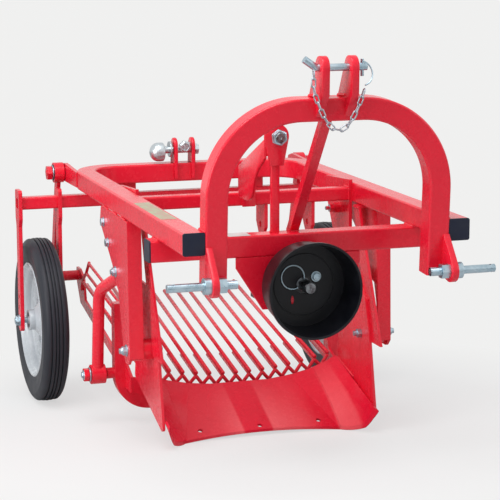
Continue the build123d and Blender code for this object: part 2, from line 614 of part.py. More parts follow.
# Rear links: straight bars hung on lugs behind the frame corners
eye_x1 = REAR_LINK_X + REAR_EYE_L
bar_x0 = REAR_LINK_X + REAR_EYE_L / 2 - LINK_T / 2
rear_link = eye_bar(*REAR_TOP, *REAR_LOW, LINK_W, bar_x0, bar_x0 + LINK_T)
rear_link += rod_x(REAR_LINK_X, eye_x1, *REAR_TOP, 66)
rear_link += rod_x(bar_x0 - 8, bar_x0 + LINK_T + 8, *REAR_LOW, 50)
rear_link -= rod_x(REAR_LINK_X - 20, eye_x1 + 20, *REAR_TOP, REAR_BOLT_D + 2 * RUN)
rear_link -= rod_x(REAR_LINK_X - 20, eye_x1 + 20, *REAR_LOW, LINK_PIN_D + 2 * OPEN_PLAY)
parts["rear_link_right"] = rear_link
parts["rear_link_left"] = mirror(rear_link, about=Plane.YZ)
corner_lug_shape = [
    (FRAME_LENGTH - 130, -TUBE + 6),
    (FRAME_LENGTH - 130, -6),
    (REAR_TOP[0] - 12, REAR_TOP[1] + 32),
    (REAR_TOP[0] + 24, REAR_TOP[1] + 22),
    (REAR_TOP[0] + 32, REAR_TOP[1]),
    (REAR_TOP[0] + 20, REAR_TOP[1] - 28),
]
corner_lug = plate_yz(corner_lug_shape, REAR_LINK_X - 14, REAR_LINK_X - 2)
corner_lug = largest(corner_lug - parts["frame_bow"])
corner_lug += rod_x(REAR_LINK_X - 14, eye_x1 + 24, *REAR_TOP, REAR_BOLT_D)
corner_lug += nut(eye_x1 + 6, eye_x1 + 22, *REAR_TOP, 42)
parts["corner_lugs"] = both_sides(corner_lug)

# Screw adjuster on the rear member: two lugs and a cross bolt
adj_y = FRAME_LENGTH - TUBE
adj_z = 44
adj_shape = [(adj_y - 14, -TUBE + 10), (adj_y, -TUBE + 10), (adj_y, 0), (adj_y + 46, 0), (adj_y + 46, 62)]
adj_shape += [(adj_y + 28, 84), (adj_y - 4, 84), (adj_y - 14, 72)]
adj_bore = rod_x(-200, 100, adj_y + 16, adj_z, 24)
adj_lugs = [plate_yz(adj_shape, x, x + 10) - adj_bore for x in (-68, -10)]
parts["adjuster_lugs"] = Compound(children=adj_lugs)
adjuster = rod_x(-110, 30, adj_y + 16, adj_z, 24)
adjuster += nut(-138, -98, adj_y + 16, adj_z, 48)
adjuster += rod_x(-76, -68, adj_y + 16, adj_z, 44)
adjuster += nut(-34, -14, adj_y + 16, adj_z, 36)
parts["rear_adjuster"] = adjuster

# Sieve grid: a dished row of rods that stand out to the rear from the front plate
slope = tan(radians(SIEVE_SLOPE))


def rod_line(y):
    """Height of the middle rod's centre line."""
    return ROD_FRONT_Z + (y - ROD_FRONT_Y) * slope


def rod_ends(x):
    """Front and rear end of the rod at x: the outer rods lie higher and reach further back."""
    out = (x / ROD_DISH_X) ** 2
    front = (x, ROD_FRONT_Y, ROD_FRONT_Z + ROD_DISH * out)
    rear = (x, ROD_REAR_Y + REAR_BOW * out, rod_line(ROD_REAR_Y) + REAR_DISH * out)
    return front, rear


first_x = -ROD_PITCH * (ROD_COUNT - 1) / 2
rod_places = [first_x + i * ROD_PITCH for i in range(ROD_COUNT)]

# The front rod is bent to a zigzag: its peaks carry the rods' ends, its valleys stand on the front plate,
# and short tails run back under each rod
peak_y = ROD_FRONT_Y + 6
peak_drop = (ROD_D + ZIGZAG_D) / 2 - 1
zigzag_points = []
rods = []
for x in rod_places:
    front, rear = rod_ends(x)
    peak_z = front[2] - peak_drop
    zigzag_points.append((x, peak_y, peak_z))
    valley_x = x + ROD_PITCH / 2
    zigzag_points.append((valley_x, peak_y, rod_ends(valley_x)[0][2] - peak_drop - ZIGZAG_H))
    rods.append(bar(front, rear, ROD_D))
    tail_slope = (rear[2] - front[2]) / (rear[1] - front[1])
    rods.append(bar((x, peak_y, peak_z), (x, peak_y + ZIGZAG_TAIL, peak_z + ZIGZAG_TAIL * tail_slope), ZIGZAG_D))
zigzag_path = Polyline(*zigzag_points[:-1])
zigzag_start = Plane(origin=zigzag_path @ 0, z_dir=zigzag_path % 0)
zigzag = sweep(zigzag_start * Circle(ZIGZAG_D / 2), path=zigzag_path, transition=Transition.RIGHT)
plate_middle = ROD_FRONT_Z - peak_drop - ZIGZAG_H - ZIGZAG_D / 2 + 1
plate_side = plate_middle + ROD_DISH * (SIEVE_HALF / ROD_DISH_X) ** 2
plate_top = ThreePointArc((-SIEVE_HALF, plate_side), (0, plate_middle), (SIEVE_HALF, plate_side))
plate_rest = Polyline(
    (SIEVE_HALF, plate_side),
    (SIEVE_HALF, plate_side - 50),
    (SIEVE_HALF - 110, FRONT_PLATE_LOW),
    (-SIEVE_HALF + 110, FRONT_PLATE_LOW),
    (-SIEVE_HALF, plate_side - 50),
    (-SIEVE_HALF, plate_side),
)
plate_back = peak_y - ZIGZAG_D / 2 + 2 + FRONT_PLATE_T
plate_plane = Plane(origin=(0, plate_back, 0), x_dir=(1, 0, 0), z_dir=(0, -1, 0))
front_plate = extrude(plate_plane * make_face([plate_top, plate_rest]), FRONT_PLATE_T)
parts["sieve_grid"] = zigzag.fuse(front_plate, *rods)

# Sieve carrier: the hoop under the grid and the pins for the front links
hoop_x = SIEVE_HALF + HOOP_TUBE / 2
hoop_z = HOOP_LOW + HOOP_TUBE / 2
hoop_top = FRONT_LOW[1] + 220
hoop_back = FRONT_LOW[0] + HOOP_TUBE / 2
hoop_path = FilletPolyline(
    (-hoop_x, FRONT_LOW[0], hoop_top),
    (-hoop_x, FRONT_LOW[0], hoop_z),
    (hoop_x, FRONT_LOW[0], hoop_z),
    (hoop_x, FRONT_LOW[0], hoop_top),
    radius=HOOP_BEND,
)
hoop_start = Plane(origin=(-hoop_x, FRONT_LOW[0], hoop_top), z_dir=(0, 0, -1))
hoop = sweep(hoop_start * Rectangle(HOOP_TUBE, HOOP_TUBE), path=hoop_path)
for s in (-1, 1):
    hoop += rod_x(s * (hoop_x + HOOP_TUBE / 2 - 2), s * (boss_x0 - 6), *FRONT_LOW, 34)
    hoop += rod_x(s * (boss_x0 - 8), s * (boss_x1 + 12), *FRONT_LOW, LINK_PIN_D)
    hoop += nut(s * (boss_x1 + 6), s * (boss_x1 + 22), *FRONT_LOW, 36)
parts["sieve_hoop"] = hoop

# Sieve sides: three stepped rods joined at the rear, a side bar, and a plate with the rear link's pin
side_rise = tan(radians(SIDE_ROD_RISE))
side_rod_x = SIEVE_HALF + SIEVE_SIDE_T + ROD_D / 2 - 1
# Side rods from the top down: height at the hoop, place of the rear end
side_rods = [(-374, REAR_LOW[0] - 195), (-418, REAR_LOW[0] - 150), (-462, REAR_LOW[0] - 90)]
side_ends = []
side_pieces = []
for front_z, rear_y in side_rods:
    rear_z = front_z + (rear_y - hoop_back) * side_rise
    side_ends.append((side_rod_x, rear_y, rear_z))
    side_pieces.append(bar((side_rod_x, hoop_back - 4, front_z), (side_rod_x, rear_y + 3, rear_z), ROD_D))
top_end = (side_rod_x, side_ends[0][1], side_ends[0][2] + 4)
low_end = (side_rod_x, REAR_LOW[0] - 78, rod_line(ROD_REAR_Y) + 30)
joining_path = Polyline(top_end, *side_ends[1:], low_end)
joining_start = Plane(origin=joining_path @ 0, z_dir=joining_path % 0)
joining_rod = sweep(joining_start * Circle(ROD_D / 2), path=joining_path, transition=Transition.RIGHT)
side_pieces.append(joining_rod)
bar_front = rod_line(hoop_back) - 8
bar_rear = rod_line(ROD_REAR_Y) - 8
side_bar_shape = [
    (hoop_back, bar_front - SIDE_BAR_H / 2),
    (hoop_back, bar_front + SIDE_BAR_H / 2),
    (ROD_REAR_Y - 60, bar_rear + SIDE_BAR_H / 2 - 8),
    (ROD_REAR_Y - 40, REAR_LOW[1] + 6),
    (REAR_LOW[0] - 24, REAR_LOW[1] + 26),
    (REAR_LOW[0] + 18, REAR_LOW[1] + 26),
    (REAR_LOW[0] + 26, REAR_LOW[1]),
    (REAR_LOW[0] + 14, REAR_LOW[1] - 28),
    (ROD_REAR_Y + 8, bar_rear - SIDE_BAR_H / 2),
]
side_bar = plate_yz(side_bar_shape, SIEVE_HALF, SIEVE_HALF + SIEVE_SIDE_T)
gusset_y = plate_back - FRONT_PLATE_T
gusset_shape = [
    (gusset_y, plate_side - 50),
    (gusset_y, plate_side),
    (hoop_back - HOOP_TUBE, plate_side + 30),
    (hoop_back - HOOP_TUBE, plate_side - 50),
]
side_bar += plate_yz(gusset_shape, SIEVE_HALF, SIEVE_HALF + SIEVE_SIDE_T)
side_bar += rod_x(SIEVE_HALF + SIEVE_SIDE_T, bar_x0 - 14, *REAR_LOW, 34)
side_bar += rod_x(bar_x0 - 14, bar_x0 + LINK_T + 20, *REAR_LOW, LINK_PIN_D)
sieve_side = side_bar.fuse(*side_pieces) - hoop
parts["sieve_sides"] = both_sides(sieve_side)

# Wheel carrier across the rear and the two forks
carrier_y = WHEEL_Y
carrier_half = WHEEL_X + FORK_GAP / 2 + FORK_T
carrier_path = Line((-carrier_half, carrier_y, CARRIER_Z - 20), (carrier_half, carrier_y, CARRIER_Z - 20))
carrier = hollow(carrier_path, Plane(origin=(-carrier_half, carrier_y, CARRIER_Z - 20), z_dir=(1, 0, 0)), CARRIER_TUBE)
for x in (-260, 180):
    carrier += box(x, x + 80, carrier_y - 20, carrier_y + 4, CARRIER_Z, -TUBE)
parts["wheel_carrier"] = carrier
fork_top = CARRIER_Z + 24
fork_low = WHEEL_Z - 34
fork_shape = [
    (carrier_y - FORK_HEAD_W / 2, fork_top - 8),
    (carrier_y - FORK_HEAD_W / 2 + 8, fork_top),
    (carrier_y + FORK_HEAD_W / 2 - 8, fork_top),
    (carrier_y + FORK_HEAD_W / 2, fork_top - 8),
    (carrier_y + FORK_HEAD_W / 2, CARRIER_Z - 70),
    (carrier_y + FORK_W / 2, CARRIER_Z - 95),
    (carrier_y + FORK_W / 2, fork_low + 10),
    (carrier_y + FORK_W / 2 - 10, fork_low),
    (carrier_y - FORK_W / 2 + 10, fork_low),
    (carrier_y - FORK_W / 2, fork_low + 10),
    (carrier_y - FORK_W / 2, CARRIER_Z - 95),
    (carrier_y - FORK_HEAD_W / 2, CARRIER_Z - 70),
]
fork = None
for x0 in (WHEEL_X - FORK_GAP / 2 - FORK_T, WHEEL_X + FORK_GAP / 2):
    leg = plate_yz(fork_shape, x0, x0 + FORK_T)
    leg -= box(x0 - 1, x0 + FORK_T + 1, carrier_y - 20, carrier_y + 20, CARRIER_Z - CARRIER_TUBE, CARRIER_Z)
    fork = leg if fork is None else Compound(children=[fork, leg])
axle_in = WHEEL_X - FORK_GAP / 2 - FORK_T
axle_out = WHEEL_X + FORK_GAP / 2 + FORK_T
axle = rod_x(axle_in - 16, axle_out + 16, WHEEL_Y, WHEEL_Z, AXLE_D)
axle += nut(axle_out, axle_out + 13, WHEEL_Y, WHEEL_Z, 30)
axle += nut(axle_in - 13, axle_in, WHEEL_Y, WHEEL_Z, 30)
fork_holes = [rod_x(axle_in - 1, axle_out + 1, WHEEL_Y, WHEEL_Z + up, FORK_HOLE_D) for up in FORK_HOLES]
fork = Compound(children=[leg - axle - fork_holes[0] - fork_holes[1] for leg in fork.solids()])
parts["wheel_fork_right"] = fork
parts["wheel_fork_left"] = mirror(fork, about=Plane.YZ)
parts["axle_right"] = axle
parts["axle_left"] = mirror(axle, about=Plane.YZ)

tyre_section = make_face(
    Polyline(
        (RIM_R + 1, -TYRE_W / 2 + 8),
        (WHEEL_R - 40, -TYRE_W / 2),
        (WHEEL_R - 10, -TYRE_W / 2 + 6),
        (WHEEL_R, -TYRE_W / 2 + 18),
        (WHEEL_R, TYRE_W / 2 - 18),
        (WHEEL_R - 10, TYRE_W / 2 - 6),
        (WHEEL_R - 40, TYRE_W / 2),
        (RIM_R + 1, TYRE_W / 2 - 8),
        close=True,
    )
)
rim_section = make_face(
    Polyline(
        (AXLE_D / 2 + FIT, -HUB_W / 2),
        (HUB_R, -HUB_W / 2),
        (HUB_R, -8),
        (RIM_R - 50, -20),
        (RIM_R - 12, -12),
        (RIM_R - 12, -TYRE_W / 2 + 6),
        (RIM_R + 1, -TYRE_W / 2 + 6),
        (RIM_R + 1, TYRE_W / 2 - 6),
        (RIM_R - 12, TYRE_W / 2 - 6),
        (RIM_R - 12, -4),
        (RIM_R - 50, -12),
        (HUB_R, 0),
        (HUB_R, HUB_W / 2),
        (AXLE_D / 2 + FIT, HUB_W / 2),
        close=True,
    )
)
section_plane = Plane(origin=(0, 0, 0), x_dir=(1, 0, 0), z_dir=(0, 1, 0))
for name, s in (("right", 1), ("left", -1)):
    spin = Plane(origin=(s * WHEEL_X, WHEEL_Y, WHEEL_Z), x_dir=(0, 1, 0), z_dir=(s, 0, 0))
    parts["tyre_" + name] = spin * revolve(section_plane * tyre_section, Axis.Z)
    parts["rim_" + name] = spin * revolve(section_plane * rim_section, Axis.Z)

# Stand it on the floor: pitch about X until share and wheels share one level, then centre it
reach_y = WHEEL_Y - SHARE_CREASE_Y
reach_z = WHEEL_Z - SHARE_CREASE_Z
PITCH = degrees(asin(WHEEL_R / hypot(reach_y, reach_z)) - atan2(reach_z, reach_y))
floor_z = SHARE_CREASE_Y * sin(radians(PITCH)) + SHARE_CREASE_Z * cos(radians(PITCH))
pitched = {name: shape.rotate(Axis.X, PITCH) for name, shape in parts.items()}
y_low = min(shape.bounding_box().min.Y for shape in pitched.values())
y_high = max(shape.bounding_box().max.Y for shape in pitched.values())
shift = (0, -(y_low + y_high) / 2, -floor_z)

os.makedirs("parts", exist_ok=True)
for name, shape in pitched.items():
    export_step(shape.translate(shift), f"parts/{name}.step")
print("pitch", round(PITCH, 3), "shift", [round(v, 2) for v in shift])
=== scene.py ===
from math import cos, pi, radians, sin, tau

import bmesh
import bpy
from mathutils import Matrix, Vector


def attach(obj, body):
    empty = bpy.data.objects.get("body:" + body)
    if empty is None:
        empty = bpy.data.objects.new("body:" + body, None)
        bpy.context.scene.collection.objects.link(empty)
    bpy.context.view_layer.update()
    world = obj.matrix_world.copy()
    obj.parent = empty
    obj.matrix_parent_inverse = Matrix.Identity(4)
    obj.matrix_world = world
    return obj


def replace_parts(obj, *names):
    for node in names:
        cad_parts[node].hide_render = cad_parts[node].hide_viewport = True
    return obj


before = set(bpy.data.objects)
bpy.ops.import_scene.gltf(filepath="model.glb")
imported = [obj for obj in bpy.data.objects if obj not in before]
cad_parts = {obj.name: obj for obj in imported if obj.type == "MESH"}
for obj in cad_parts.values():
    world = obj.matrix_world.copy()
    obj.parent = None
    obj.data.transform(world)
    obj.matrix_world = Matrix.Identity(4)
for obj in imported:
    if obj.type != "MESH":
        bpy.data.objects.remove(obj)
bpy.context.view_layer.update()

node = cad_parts

# Powder-coated red steel: every welded part of the digger is sprayed with one bright red
# powder and baked to a gloss. The coat has a fine orange-peel skin, a slightly uneven tone
# and rounds off the plates' edges.


def links(tree, *pairs):
    """Joins sockets of a node tree, output first."""
    for output, target in pairs:
        tree.links.new(output, target)


def group_tree(name, inputs, outputs):
    """A shader node group with its sockets; inputs are (name, kind, value), outputs (name, kind)."""
    tree = bpy.data.node_groups.new(name, "ShaderNodeTree")
    for label, kind, value in inputs:
        made = tree.interface.new_socket(label, in_out="INPUT", socket_type=kind)
        made.default_value = value
    for label, kind in outputs:
        tree.interface.new_socket(label, in_out="OUTPUT", socket_type=kind)
    entry = tree.nodes.new("NodeGroupInput")
    leave = tree.nodes.new("NodeGroupOutput")
    return tree, entry, leave


def noise(tree, coordinates, scale, detail=3.0, roughness=0.5):
    """Noise over the surface, in the object's own coordinates."""
    made = tree.nodes.new("ShaderNodeTexNoise")
    made.inputs["Scale"].default_value = scale
    made.inputs["Detail"].default_value = detail
    made.inputs["Roughness"].default_value = roughness
    tree.links.new(coordinates, made.inputs["Vector"])
    return made.outputs["Fac"]


def spread(tree, value, low, high, out_low, out_high):
    """Maps a value from one range to another, clamped."""
    made = tree.nodes.new("ShaderNodeMapRange")
    for label, number in (
        ("From Min", low),
        ("From Max", high),
        ("To Min", out_low),
        ("To Max", out_high),
    ):
        made.inputs[label].default_value = number
    tree.links.new(value, made.inputs["Value"])
    return made.outputs["Result"]


def blend_colour(tree, factor, first, second, how="MIX"):
    """Mixes two colours, each a socket or an RGBA value."""
    made = tree.nodes.new("ShaderNodeMix")
    made.data_type = "RGBA"
    made.blend_type = how
    tree.links.new(factor, made.inputs["Factor"])
    for label, colour in (("A", first), ("B", second)):
        target = next(s for s in made.inputs if s.name == label and s.type == "RGBA")
        if isinstance(colour, tuple):
            target.default_value = colour
        else:
            tree.links.new(colour, target)
    return next(s for s in made.outputs if s.type == "RGBA")


def bump(tree, height, distance, strength=1.0, below=None):
    """A bump from a height, over another normal if there is one."""
    made = tree.nodes.new("ShaderNodeBump")
    made.inputs["Strength"].default_value = strength
    made.inputs["Distance"].default_value = distance
    tree.links.new(height, made.inputs["Height"])
    if below is not None:
        tree.links.new(below, made.inputs["Normal"])
    return made.outputs["Normal"]


coat_skin, entry, leave = group_tree(
    "coat_skin",
    [
        ("Colour", "NodeSocketColor", (0.8, 0.01, 0.02, 1)),
        ("Deep colour", "NodeSocketColor", (0.5, 0.0, 0.01, 1)),
    ],
    [("Colour", "NodeSocketColor"), ("Roughness", "NodeSocketFloat"), ("Normal", "NodeSocketVector")],
)
TONE_SCALE = 7.0
DUST_SCALE = 46.0
PEEL_SCALE = 420.0
PEEL_HIGH = 0.0003
COAT_EDGE = 0.0022
place = coat_skin.nodes.new("ShaderNodeTexCoord").outputs["Object"]
tone = spread(coat_skin, noise(coat_skin, place, TONE_SCALE), 0.35, 0.7, 0.0, 0.45)
dusty = spread(coat_skin, noise(coat_skin, place, DUST_SCALE, 6.0, 0.65), 0.3, 0.75, 0.2, 0.34)
peel = noise(coat_skin, place, PEEL_SCALE, 2.0)
soft_edge = coat_skin.nodes.new("ShaderNodeBevel")
soft_edge.samples = 6
soft_edge.inputs["Radius"].default_value = COAT_EDGE
links(
    coat_skin,
    (blend_colour(coat_skin, tone, entry.outputs["Colour"], entry.outputs["Deep colour"]), leave.inputs["Colour"]),
    (dusty, leave.inputs["Roughness"]),
    (bump(coat_skin, peel, PEEL_HIGH, 0.35, soft_edge.outputs["Normal"]), leave.inputs["Normal"]),
)


def surface(name):
    """An empty material with its Principled shader."""
    made = bpy.data.materials.new(name)
    made.use_nodes = True
    return made, made.node_tree, made.node_tree.nodes["Principled BSDF"]


def coated(name, colour, deep):
    """Powder coat in one colour."""
    made, tree, shader = surface(name)
    skin = tree.nodes.new("ShaderNodeGroup")
    skin.node_tree = coat_skin
    skin.inputs["Colour"].default_value = colour
    skin.inputs["Deep colour"].default_value = deep
    shader.inputs["Coat Weight"].default_value = 0.20
    shader.inputs["Coat Roughness"].default_value = 0.14
    shader.inputs["Specular IOR Level"].default_value = 0.34
    links(
        tree,
        (skin.outputs["Colour"], shader.inputs["Base Color"]),
        (skin.outputs["Roughness"], shader.inputs["Roughness"]),
        (skin.outputs["Normal"], shader.inputs["Normal"]),
    )
    return made


red_coat = coated("red_powder_coat", (0.74, 0.010, 0.032, 1), (0.62, 0.007, 0.024, 1))


def finish_nodes(material, *names):
    """Gives CAD nodes their finish."""
    for name in names:
        for place_for in node[name].material_slots:
            place_for.material = material


finish_nodes(
    red_coat,
    "main_frame",
    "frame_bow",
    "front_cross_tube",
    "mid_cross_tube",
    "mid_plates",
    "hitch_arch",
    "arch_brace",
    "gearbox_bracket",
    "hanger_left",
    "hanger_right",
    "share_side_left",
    "share_side_right",
    "share_bushes",
    "share_struts",
    "front_link_left",
    "front_link_right",
    "rear_link_left",
    "rear_link_right",
    "corner_lugs",
    "sieve_hoop",
    "sieve_sides",
    "wheel_carrier",
    "wheel_fork_left",
    "wheel_fork_right",
)

# Share plates: the sheet that lifts the row, pressed to a dish and coated in a deeper red. The
# press leaves shallow folds from front to back, and the strip on one side of each takes the
# light, which is drawn here as a paler red.
share_coat = coated("red_share_coat", (0.72, 0.008, 0.034, 1), (0.64, 0.006, 0.026, 1))
FOLDS = (
    # across the floor (m), how light
    (-0.30, 0.0),
    (-0.25, 0.10),
    (-0.12, 0.30),
    (-0.057, 0.75),
    (-0.051, 0.0),
    (0.033, 0.0),
    (0.039, 0.85),
    (0.12, 0.55),
    (0.19, 0.05),
    (0.236, 0.0),
    (0.242, 0.75),
    (0.285, 0.50),
    (0.293, 0.0),
)
FOLD_SPAN = 0.70
FOLD_FADE_Y = (-0.14, 0.05)
PALE_RED = (0.86, 0.13, 0.15, 1)
fold_light, entry, leave = group_tree(
    "fold_light", [("Strength", "NodeSocketFloat", 1.0)], [("Mask", "NodeSocketFloat")]
)
place = fold_light.nodes.new("ShaderNodeTexCoord").outputs["Object"]
split = fold_light.nodes.new("ShaderNodeSeparateXYZ")
links(fold_light, (place, split.inputs[0]))
ramp = fold_light.nodes.new("ShaderNodeValToRGB")
for i, (x, light) in enumerate(FOLDS):
    stop = ramp.color_ramp.elements[0] if i == 0 else ramp.color_ramp.elements.new(x / FOLD_SPAN + 0.5)
    stop.position = x / FOLD_SPAN + 0.5
    stop.color = (light, light, light, 1)
ramp.color_ramp.elements[-1].color = (0, 0, 0, 1)
front_part = spread(fold_light, split.outputs["Y"], *FOLD_FADE_Y, 1.0, 0.15)
weaker = fold_light.nodes.new("ShaderNodeMath")
weaker.operation = "MULTIPLY"
scaled = fold_light.nodes.new("ShaderNodeMath")
scaled.operation = "MULTIPLY"
links(
    fold_light,
    (spread(fold_light, split.outputs["X"], -FOLD_SPAN / 2, FOLD_SPAN / 2, 0.0, 1.0), ramp.inputs["Fac"]),
    (ramp.outputs["Color"], weaker.inputs[0]),
    (front_part, weaker.inputs[1]),
    (weaker.outputs[0], scaled.inputs[0]),
    (entry.outputs["Strength"], scaled.inputs[1]),
    (scaled.outputs[0], leave.inputs["Mask"]),
)
tree = share_coat.node_tree
shader = tree.nodes["Principled BSDF"]
shader.inputs["Specular IOR Level"].default_value = 0.16
shader.inputs["Coat Weight"].default_value = 0.04
folds = tree.nodes.new("ShaderNodeGroup")
folds.node_tree = fold_light
folds.inputs["Strength"].default_value = 1.0
under = shader.inputs["Base Color"].links[0].from_socket
links(tree, (blend_colour(tree, folds.outputs["Mask"], under, PALE_RED), shader.inputs["Base Color"]))
finish_nodes(share_coat, "share_floor", "share_wings")

# Weld beads: each joint of the tubes and plates is closed by a run of weld, rippled like a
# row of coins pushed over, and coated red with the rest.

# The digger stands nose down on its share, so its own axes are tipped by this angle, and the
# front ends of the frame members are at this place.
NOSE_DOWN = radians(3.3995)
FRAME_START = Vector((0.0, -0.77452, 0.68959))
tipped = Matrix.Rotation(NOSE_DOWN, 4, "X")


def stand(point):
    """A point in millimetres along the machine's own axes, as it stands on the floor."""
    return tipped @ (Vector(point) / 1000) + FRAME_START


def made_piece(name, parts, material, body, crease=32):
    """One mesh of several (points, faces) parts, riding on a body; edges sharper than the crease stay sharp."""
    points, faces = [], []
    for part_points, part_faces in parts:
        start = len(points)
        points += [stand(point) for point in part_points]
        faces += [[index + start for index in face] for face in part_faces]
    mesh = bpy.data.meshes.new(name)
    mesh.from_pydata(points, [], faces)
    shell = bmesh.new()
    shell.from_mesh(mesh)
    bmesh.ops.recalc_face_normals(shell, faces=shell.faces)
    for face in shell.faces:
        face.smooth = True
    shell.to_mesh(mesh)
    shell.free()
    mesh.set_sharp_from_angle(angle=radians(crease))
    mesh.materials.append(material)
    made = bpy.data.objects.new(name, mesh)
    bpy.context.collection.objects.link(made)
    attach(made, body)
    return made


def wire(path, flat, radii, sides=8, closed=False):
    """A round wire along a path that lies across the flat direction, with one radius or one for each point."""
    flat = Vector(flat).normalized()
    path = [Vector(point) for point in path]
    if not isinstance(radii, list):
        radii = [radii] * len(path)
    points, faces = [], []
    last = len(path) - 1
    for i, middle in enumerate(path):
        ahead = path[(i + 1) % len(path)] if closed or i < last else middle
        behind = path[i - 1] if closed or i else middle
        out = (ahead - behind).normalized().cross(flat)
        for k in range(sides):
            turn = tau * k / sides
            points.append(middle + (out * cos(turn) + flat * sin(turn)) * radii[i])
    for i in range(len(path) if closed else last):
        after = (i + 1) % len(path)
        for k in range(sides):
            beside = (k + 1) % sides
            faces.append([i * sides + k, i * sides + beside, after * sides + beside, after * sides + k])
    if not closed:
        faces += [list(range(sides)), [last * sides + k for k in range(sides)]]
    return points, faces


BEAD_R = 4.2
BEAD_STEP = 3.0
BEAD_RIPPLE = 0.14
BEADS = (
    # one end, other end, direction across the run (mm), for both sides
    ((340, 240, -60), (340, 300, -60), (0, 0, 1)),
    ((342, 240, -60), (398, 240, -60), (0, 0, 1)),
    ((342, 300, -60), (398, 300, -60), (0, 0, 1)),
    ((400, 242, -60), (400, 298, -60), (0, 0, 1)),
    ((340, -4, 1), (340, 50, 1), (1, 0, 0)),
    ((340, 53, -58), (340, 53, -2), (1, 0, 0)),
    ((402, 600, -60), (402, 650, -60), (0, 0, 1)),
    ((402, 700, -60), (402, 750, -60), (0, 0, 1)),
    ((402, 810, -60), (402, 870, -60), (0, 0, 1)),
    ((330, 717, -15), (330, 753, -15), (0, 0, 1)),
    ((330, 715, -53), (330, 715, -17), (0, 1, 0)),
    ((330, 636, -67), (330, 674, -67), (0, 0, 1)),
    ((322, 640, -590), (322, 780, -560), (1, 0, 0)),
    ((13, 280, -60), (13, 300, -60), (0, 0, 1)),
    ((30, -28, 343), (30, 24, 340), (0, 0, 1)),
    ((50, -28, 343), (50, 24, 340), (0, 0, 1)),
)
BRACE_BEAD = ((-12, 279, -60), (12, 279, -60), (0, 0, 1))


def bead(start, end, flat):
    """One run of weld, thick and thin by turns."""
    start, end = Vector(start), Vector(end)
    steps = max(4, int((end - start).length / BEAD_STEP * 2))
    path = [start.lerp(end, i / steps) for i in range(steps + 1)]
    radii = [BEAD_R * (1 - BEAD_RIPPLE * ((i + 1) % 2)) for i in range(steps + 1)]
    radii[0] = radii[-1] = BEAD_R * 0.5
    return wire(path, flat, radii, 6)


bead_parts = []
for start, end, flat in BEADS:
    for side in (-1, 1):
        bead_parts.append(bead((side * start[0], *start[1:]), (side * end[0], *end[1:]), flat))
bead_parts.append(bead(*BRACE_BEAD))
made_piece("weld_beads", bead_parts, red_coat, "chassis", 80)

# Sieve grid: fifteen round rods in a shallow dish, free at the rear. Their front ends stand on
# a rod bent to a zigzag, whose tails run back under them, over a plate behind the share.
ROD_COUNT = 15
ROD_PITCH = 43.0
ROD_R = 6.1
ZIGZAG_R = 5.7
TAIL_LONG = 168.0
ROD_FRONT = (814.0, -592.0)
ROD_BACK = (1500.0, -466.1)
FRONT_RISE = 25.0
BACK_RISE = 17.0
BACK_BOW = 35.0
RISE_AT = 237.0
ZIGZAG_DEEP = 27.0
ZIGZAG_BACK = 6.0
ROD_DROP = 9.6
ROD_EDGE = 1.2
TAIL_EDGE = 2.0
CORNER_HALF = 2.2
CORNER_CUT = 3.0
PLATE_Y = (818.0, 826.0)
PLATE_HALF = 328.0
PLATE_TOP = -630.0
PLATE_STEPS = 24
PLATE_LOWER = [(328.0, -632.0), (218.0, -665.0), (-218.0, -665.0), (-328.0, -632.0)]


def rod_end(x, end, rise, bow):
    """End of the rod at x: the outer rods lie higher and reach further back."""
    out = (x / RISE_AT) ** 2
    return Vector((x, end[0] + bow * out, end[1] + rise * out))


grid_parts = []
zigzag = []
for i in range(ROD_COUNT):
    x = (i - (ROD_COUNT - 1) / 2) * ROD_PITCH
    front = rod_end(x, ROD_FRONT, FRONT_RISE, 0.0)
    back = rod_end(x, ROD_BACK, BACK_RISE, BACK_BOW)
    run = (back - front).normalized()
    rod = [front, front + run * ROD_EDGE, back - run * TAIL_EDGE, back]
    grid_parts.append(wire(rod, (1, 0, 0), [ROD_R - ROD_EDGE, ROD_R, ROD_R, ROD_R - TAIL_EDGE], 12))
    foot = front + Vector((0, ZIGZAG_BACK, -ROD_DROP))
    tail = [foot, foot + run * (TAIL_LONG - TAIL_EDGE), foot + run * TAIL_LONG]
    grid_parts.append(wire(tail, (1, 0, 0), [ZIGZAG_R, ZIGZAG_R, ZIGZAG_R - TAIL_EDGE], 10))
    between = rod_end(x + ROD_PITCH / 2, ROD_FRONT, FRONT_RISE, 0.0)
    valley = between + Vector((0, ZIGZAG_BACK, -ROD_DROP - ZIGZAG_DEEP))
    for corner, rise in ((foot, -CORNER_CUT), (valley, CORNER_CUT)):
        zigzag += [corner + Vector((-CORNER_HALF, 0, rise)), corner, corner + Vector((CORNER_HALF, 0, rise))]
grid_parts.append(wire(zigzag[1:-3], (0, 1, 0), ZIGZAG_R, 10))
plate_rim = []
for i in range(PLATE_STEPS + 1):
    x = -PLATE_HALF + 2 * PLATE_HALF * i / PLATE_STEPS
    plate_rim.append((x, PLATE_TOP + FRONT_RISE * (x / RISE_AT) ** 2))
plate_rim += PLATE_LOWER
rim_count = len(plate_rim)
plate_points = [(x, y, z) for y in PLATE_Y for x, z in plate_rim]
plate_faces = [list(range(rim_count)), list(range(rim_count, 2 * rim_count))]
for i in range(rim_count):
    beside = (i + 1) % rim_count
    plate_faces.append([i, beside, beside + rim_count, i + rim_count])
grid_parts.append((plate_points, plate_faces))
sieve_rods = made_piece("sieve_rods", grid_parts, red_coat, "sieve", 50)
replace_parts(sieve_rods, "sieve_grid")

# Stickers: two blank plastic foils with rounded corners, pressed on by hand. A pale green one
# lies along the top of the left member, a white one on top of the front cross tube.
FOIL_T = 0.5
FOIL_CORNER = 5.0
FOIL_ROUND = 4
MEMBER_STICKER = (-394, -350, 225, 526, 0.0)
CROSS_TUBE_STICKER = (-200, -136, 243, 297, -60.0)


